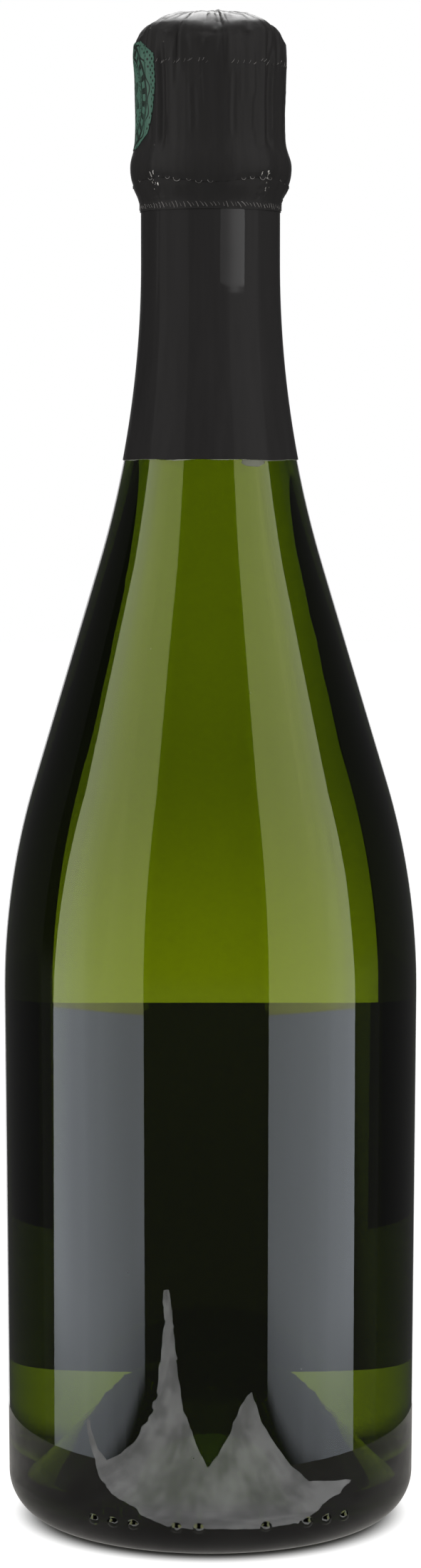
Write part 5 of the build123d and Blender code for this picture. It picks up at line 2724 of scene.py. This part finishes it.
def glowing(name: str, colour: Colour, strength: float, ripple: float = 0.0) -> bpy.types.Material:
    """Makes the material of a card that only reflections or the glass see.

    Args:
        name: Name of the material.
        colour: Colour of its light.
        strength: Strength of its light.
        ripple: Share by which the strength varies.

    Returns:
        The material.
    """
    paint = Paint(name)
    level: Any = strength
    if ripple:
        place = paint.place()
        streaks = paint.noise(paint.vector("MULTIPLY", place, (1.0, 0.25, 1.0)), 160.0, 5.0, 0.6)
        slow = paint.ramp(paint.noise(place, 22.0, 3.0, 0.6), 0.32, 0.68)
        both = paint.plus(paint.times(streaks, 0.5), paint.times(slow, 0.5))
        level = paint.scaled(both, 2 * ripple * strength, strength * (1 - ripple))
    paint.dress({
        "Base Color": (0.0, 0.0, 0.0),
        "Specular IOR Level": 0.0,
        "Roughness": 1.0,
        "Emission Color": colour,
        "Emission Strength": level,
    })
    return paint.material


def stage_card(card: bpy.types.Object, cloth: bpy.types.Material, transmission: bool = False) -> None:
    """Dresses a card and hides it from all rays but reflections, or light through the glass.

    Args:
        card: The card.
        cloth: Its material.
        transmission: Whether it is seen through the glass too.
    """
    card.data.materials.append(cloth)
    card.visible_camera = False
    card.visible_diffuse = False
    card.visible_shadow = False
    card.visible_volume_scatter = False
    card.visible_transmission = transmission


@dataclass
class Studio:
    """Floor, lights, surroundings and camera. None of it is part of the bottle."""

    lens: Lens = field(default_factory=Lens)
    glass: GlassShape = field(default_factory=GlassShape)
    floor_size: float = 8.0
    floor_colour: Colour = (0.42, 0.42, 0.415)
    # darker colour of the floor seen through the glass, a painted shade
    floor_shaded_through_glass: Colour = (0.05, 0.048, 0.045)
    floor_glow: float = 0.97
    # radii over which the painted contact shadow round the base fades out
    floor_painted_shadow: tuple[float, float] = (36 * MM, 44 * MM)
    # radii over which the painted shade near the bottle, seen through the glass, fades out
    floor_painted_shade_rim: tuple[float, float] = (68 * MM, 95 * MM)
    floor_far: tuple[float, float] = (0.35, 0.75)
    floor_far_glow: tuple[float, float] = (1.4, 1.75)
    floor_depth: tuple[float, float] = (-20 * MM, 60 * MM)
    floor_front_share: float = 0.2
    left_panel: SoftPanel = SoftPanel("left_panel", -1, 36.3, 95.0, 1.85, 2.7, 9.5)
    right_panel: SoftPanel = SoftPanel("right_panel", 1, 31.5, 86.0, 1.95, 2.8, 4.5)
    neutral: Colour = (1.0, 0.98, 0.97)
    foil_share: float = 0.62
    window_span: tuple[float, float] = (17.0, 57.0)
    window_rise: tuple[float, float] = (2.75, 5.3)
    window_base: float = 0.262
    window_distance: float = 1.3
    window_glow: float = 21.0
    window_dim: float = 0.3
    flag_distance: float = 0.30
    flag_foot: float = -0.05
    flag_height: float = 0.9
    flag_start: float = 101.0
    flag_columns: int = 24
    flag_glow: float = 0.06
    left_flag_end: float = 157.0
    right_flag_end: float = 160.0
    table_radius: float = 0.112
    table_height: float = 0.3 * MM
    table_glow: float = 0.3
    shine_height: float = 0.6 * MM
    shine_glow: float = 2.6
    shine_step: float = 5.0
    ceiling_glow: float = 4.0
    ceiling_rise: tuple[float, float] = (0.5, 0.75)
    behind_blur: float = 2.0
    behind_glow: float = 0.75
    front_glow: tuple[float, float] = (0.03, 0.09)
    glow_through: tuple[float, float] = (1.3, 0.06)
    diffuse_glow: float = 0.4
    search_step: float = 0.25 * MM
    shine_pixels: tuple[Point, ...] = (
        (119, 1977), (124, 2020), (133, 2057), (142, 2082), (157, 2102), (180, 2117), (203, 2128),
        (233, 2142), (267, 2146), (317, 2146), (367, 2146), (417, 2138), (450, 2117), (477, 2100),
        (493, 2082), (467, 2084), (433, 2085), (407, 2063), (383, 2030), (363, 1997), (353, 1962),
        (343, 1973), (332, 1993), (317, 2033), (293, 2068), (280, 2047), (267, 2013), (257, 1983),
        (252, 1953), (245, 1890), (238, 1818), (228, 1818), (230, 1863), (225, 1913), (220, 1967),
        (212, 1993), (190, 2030), (167, 2050), (150, 2057), (137, 2040), (128, 2013), (122, 1987),
    )

    def glass_radius(self, height: float) -> float:
        """Radius of the outside of heel and body.

        Args:
            height: Height above the table.

        Returns:
            The radius.
        """
        if height >= self.glass.heel_radius:
            return self.glass.outer_radius(height)
        drop = self.glass.heel_radius - max(0.0, height)
        return self.glass.heel_centre_radius + math.sqrt(self.glass.heel_radius**2 - drop**2)

    def on_table(self, column: float, row: float) -> Vector:
        """Place on the table that the glass mirrors at a pixel of the photograph.

        Args:
            column: The pixel's column.
            row: Its row.

        Returns:
            The place.
        """
        ray = self.lens.ray(column, row)
        reach = self.lens.distance - 2 * self.glass.body_radius
        far = self.lens.distance + self.glass.body_radius
        step = self.search_step
        while reach < far:
            point = self.lens.eye + ray * reach
            if math.hypot(point.x, point.y) <= self.glass_radius(point.z):
                break
            reach += step
        slope = (self.glass_radius(point.z + step) - self.glass_radius(point.z - step)) / (2 * step)
        normal = Vector((point.x, point.y, -slope * math.hypot(point.x, point.y))).normalized()
        mirrored = ray - 2 * ray.dot(normal) * normal
        return point + mirrored * (point.z / -mirrored.z)

    def shine(self) -> None:
        """Adds the lit part of the table in front, shaped so that the base mirrors it as photographed."""
        points = []
        pixels = self.shine_pixels
        for start, end in zip(pixels, pixels[1:] + pixels[:1]):
            count = max(2, round(math.dist(start, end) / self.shine_step))
            for share in (i / count for i in range(count)):
                column = start[0] * (1 - share) + end[0] * share
                row = start[1] * (1 - share) + end[1] * share
                rough = 2.2 * ruffle(column * 0.11, row * 0.11) + 1.8 * ruffle(column * 0.37, row * 0.37, 4.0)
                points.append(self.on_table(column + rough, row + 0.5 * rough))
        outline = [(p.x, p.y, self.shine_height) for p in points]
        card = mesh_object("table_shine", outline, [range(len(points))], 35, False)
        if card.data.polygons[0].normal.z < 0:
            card.data.flip_normals()
        stage_card(card, glowing("Lit table", WHITE, self.shine_glow, 0.6))
        rim = ring_points(self.table_radius, self.table_height, 96)
        table = mesh_object("table_top", rim, [range(len(rim))], 35, False)
        stage_card(table, glowing("Table", (1.0, 0.97, 0.92), self.table_glow, 0.3))

    def flags(self) -> None:
        """Adds the dark cards that give the glass its dark sides."""
        ends = ((-1, "left_flag", self.left_flag_end), (1, "right_flag", self.right_flag_end))
        for side, name, end in ends:
            turns = np.linspace(self.flag_start, end, self.flag_columns).tolist()
            heights = (self.flag_foot, self.flag_height)
            vertices = [spot(side * turn - 90, self.flag_distance, z) for z in heights for turn in turns]
            flag = mesh_object(name, vertices, grid_faces(2, len(turns), False), 35, False)
            stage_card(flag, glowing(f"{name} cloth", WHITE, self.flag_glow), True)

    def floor(self) -> None:
        """Adds the white floor, which keeps the bottle's shadow. Its glow fades out round the base in a
        painted contact shadow, and seen through the glass it is darker, a painted shade, with no glow near
        the bottle.
        """
        half = self.floor_size / 2
        edge = [(-half, -half, 0.0), (half, -half, 0.0), (half, half, 0.0), (-half, half, 0.0)]
        floor = mesh_object("floor", edge, [(0, 1, 2, 3)], 35, False)
        paint = Paint("Pale floor")
        path = paint.add("ShaderNodeLightPath").outputs
        in_glass = path["Is Transmission Ray"]
        away = paint.add("ShaderNodeVectorMath", {0: paint.place()}, operation="LENGTH").outputs["Value"]
        depth = paint.split(paint.place())[1]
        # painted contact shadow: the glow that the camera sees fades out towards the base
        clear = paint.ramp(away, *self.floor_painted_shadow)
        distant = paint.ramp(away, *self.floor_far, *self.floor_far_glow)
        behind = paint.ramp(depth, *self.floor_depth, self.floor_front_share, 1.0)
        # painted shade: seen through the glass, the floor has no glow near the bottle
        far = paint.times(paint.times(distant, paint.ramp(away, *self.floor_painted_shade_rim)), behind)
        seen = paint.times(path["Is Camera Ray"], self.floor_glow)
        # seen through the glass the floor takes a darker colour, a painted shade
        paint.dress({
            "Base Color": paint.mix(in_glass, self.floor_colour, self.floor_shaded_through_glass),
            "Roughness": 0.9,
            "Specular IOR Level": 0.0,
            "Emission Color": WHITE,
            "Emission Strength": paint.most(paint.times(seen, clear), paint.times(in_glass, far)),
        })
        floor.data.materials.append(paint.material)
        floor.visible_glossy = False

    def world(self) -> None:
        """Sets the surroundings: white where they are seen, dim in front and bright behind the bottle."""
        world = bpy.data.worlds.new("Studio")
        world.use_nodes = True
        tree = Tree(world.node_tree)
        path = tree.add("ShaderNodeLightPath").outputs
        x, y, z = tree.split(tree.add("ShaderNodeTexCoord").outputs["Generated"])
        turn = tree.angle(x, tree.times(y, -1.0))
        soft = math.radians(self.behind_blur)
        left, right = math.radians(self.left_flag_end), math.radians(self.right_flag_end)
        behind_left = tree.ramp(tree.times(turn, -1.0), left - soft, left + soft)
        behind = tree.most(behind_left, tree.ramp(turn, right - soft, right + soft))
        mirrored = tree.scaled(behind, self.behind_glow, tree.ramp(z, 0.0, -0.1, *self.front_glow))
        overhead = tree.times(tree.ramp(z, *self.ceiling_rise), tree.above(y, 0.0))
        mirrored = tree.scaled(overhead, self.ceiling_glow, mirrored)
        glassy = tree.times(path["Is Transmission Ray"], tree.scaled(behind, *self.glow_through))
        glossy = tree.times(path["Is Glossy Ray"], mirrored)
        other = tree.times(path["Is Diffuse Ray"], self.diffuse_glow)
        total = tree.plus(tree.plus(path["Is Camera Ray"], glassy), tree.plus(glossy, other))
        tree.set(world.node_tree.nodes["Background"], {"Color": WHITE, "Strength": total})
        bpy.context.scene.world = world

    def panels(self, clear_pieces: Sequence[bpy.types.Object]) -> None:
        """Adds the panels: a tinted pair for the glass, and a neutral, weaker pair for all the rest.

        Args:
            clear_pieces: The glass and the wine.
        """
        for panel in (self.left_panel, self.right_panel):
            light_only(panel.add(), clear_pieces)
            neutral = replace(
                panel,
                name=f"{panel.name}_neutral",
                low_colour=self.neutral,
                high_colour=self.neutral,
                inner_strength=panel.inner_strength * self.foil_share,
                outer_strength=panel.outer_strength * self.foil_share,
            )
            light_only(neutral.add(), clear_pieces, False)

    def window(self, pieces: Sequence[bpy.types.Object]) -> None:
        """Adds the small bright light that the neck foil mirrors as a rectangle.

        Args:
            pieces: The foil pieces that mirror it.
        """
        low, high = (math.tan(math.radians(a)) * self.window_distance for a in self.window_rise)
        left, right = (math.radians(a) for a in self.window_span)
        middle, half_span = (left + right) / 2, (right - left) / 2
        middle_height = self.window_base + (low + high) / 2
        lamp, tree = soft_lamp("window", middle, half_span, self.window_distance, high - low, middle_height)
        x, y, _ = tree.split(tree.add("ShaderNodeNewGeometry").outputs["Position"])
        azimuth = tree.angle(x, tree.times(y, -1.0))
        level = tree.ramp(azimuth, left, right, self.window_glow * self.window_dim, self.window_glow)
        tree.set(tree.tree.nodes["Emission"], {"Strength": level})
        light_only(lamp, pieces)

    def build(
        self, clear_pieces: Sequence[bpy.types.Object], mirror_pieces: Sequence[bpy.types.Object],
    ) -> None:
        """Makes the whole studio.

        Args:
            clear_pieces: The glass and the wine, which have their own pair of lamps.
            mirror_pieces: The foil that mirrors the small bright light.
        """
        self.lens.add()
        self.floor()
        self.flags()
        self.shine()
        self.panels(clear_pieces)
        self.window(mirror_pieces)
        self.world()
        bpy.context.scene.view_settings.view_transform = "Standard"


def corners(box: tuple[Vector, Vector]) -> list[list[float]]:
    """A box as plain lists."""
    return [list(box[0]), list(box[1])]


def main() -> None:
    """Builds every sub-assembly in order."""
    glass = ClearFinish(
        "Green bottle glass", 1.52, (0.665, 0.710, 0.0), 800.0,
        wave_height=0.004 * MM, dust_share=0.3, thick_tint=0.92)
    wine = ClearFinish("Pale wine", 1.34, (0.894, 0.786, 0.0), 3.6)
    black_foil = FoilFinish(
        "Black capsule foil", (0.026, 0.025, 0.0247), roughness=0.5, shine=0.11, coat=0.02)
    smooth_foil = FoilFinish(
        "Smooth capsule foil", (0.0235, 0.0226, 0.0226), shine=0.05, coat=0.05, worn=False)
    clear_pieces = GlassBottle().build(glass, wine)
    gold = MetalFinish("Gold leaf", (0.72, 0.52, 0.2), 0.36)
    FrontLabel().build(PaperFinish("Black label paper", (0.003, 0.003, 0.0032)), gold)
    Cork().build(CorkFinish("Granule cork"), CorkFinish("Whole cork", cell_size=6 * MM, pore_share=0.2))
    Cage().build(MetalFinish("Galvanised wire", (0.6, 0.59, 0.57), 0.34), EnamelFinish())
    neck = NeckFoil()
    backing = PaperFinish("Foil backing", (0.42, 0.44, 0.36), 0.5)
    mirror_pieces = [neck.build(black_foil, smooth_foil, backing, GlueFinish())]
    TearTab().build(black_foil)
    hood = FoilHood()
    # the hood's foil is glossier at its top and carries a painted highlight that makes the top paler
    hood.build(replace(black_foil, name="Rubbed capsule foil with painted top highlight", gloss_and_highlight_from=317.2 * MM), SealFinish())
    PressedMarks(hood, neck).build(MetalFinish("Pressed foil edges", (0.34, 0.33, 0.32), 0.42))
    Studio().build(clear_pieces, mirror_pieces)


if __name__ == "__main__":
    main()
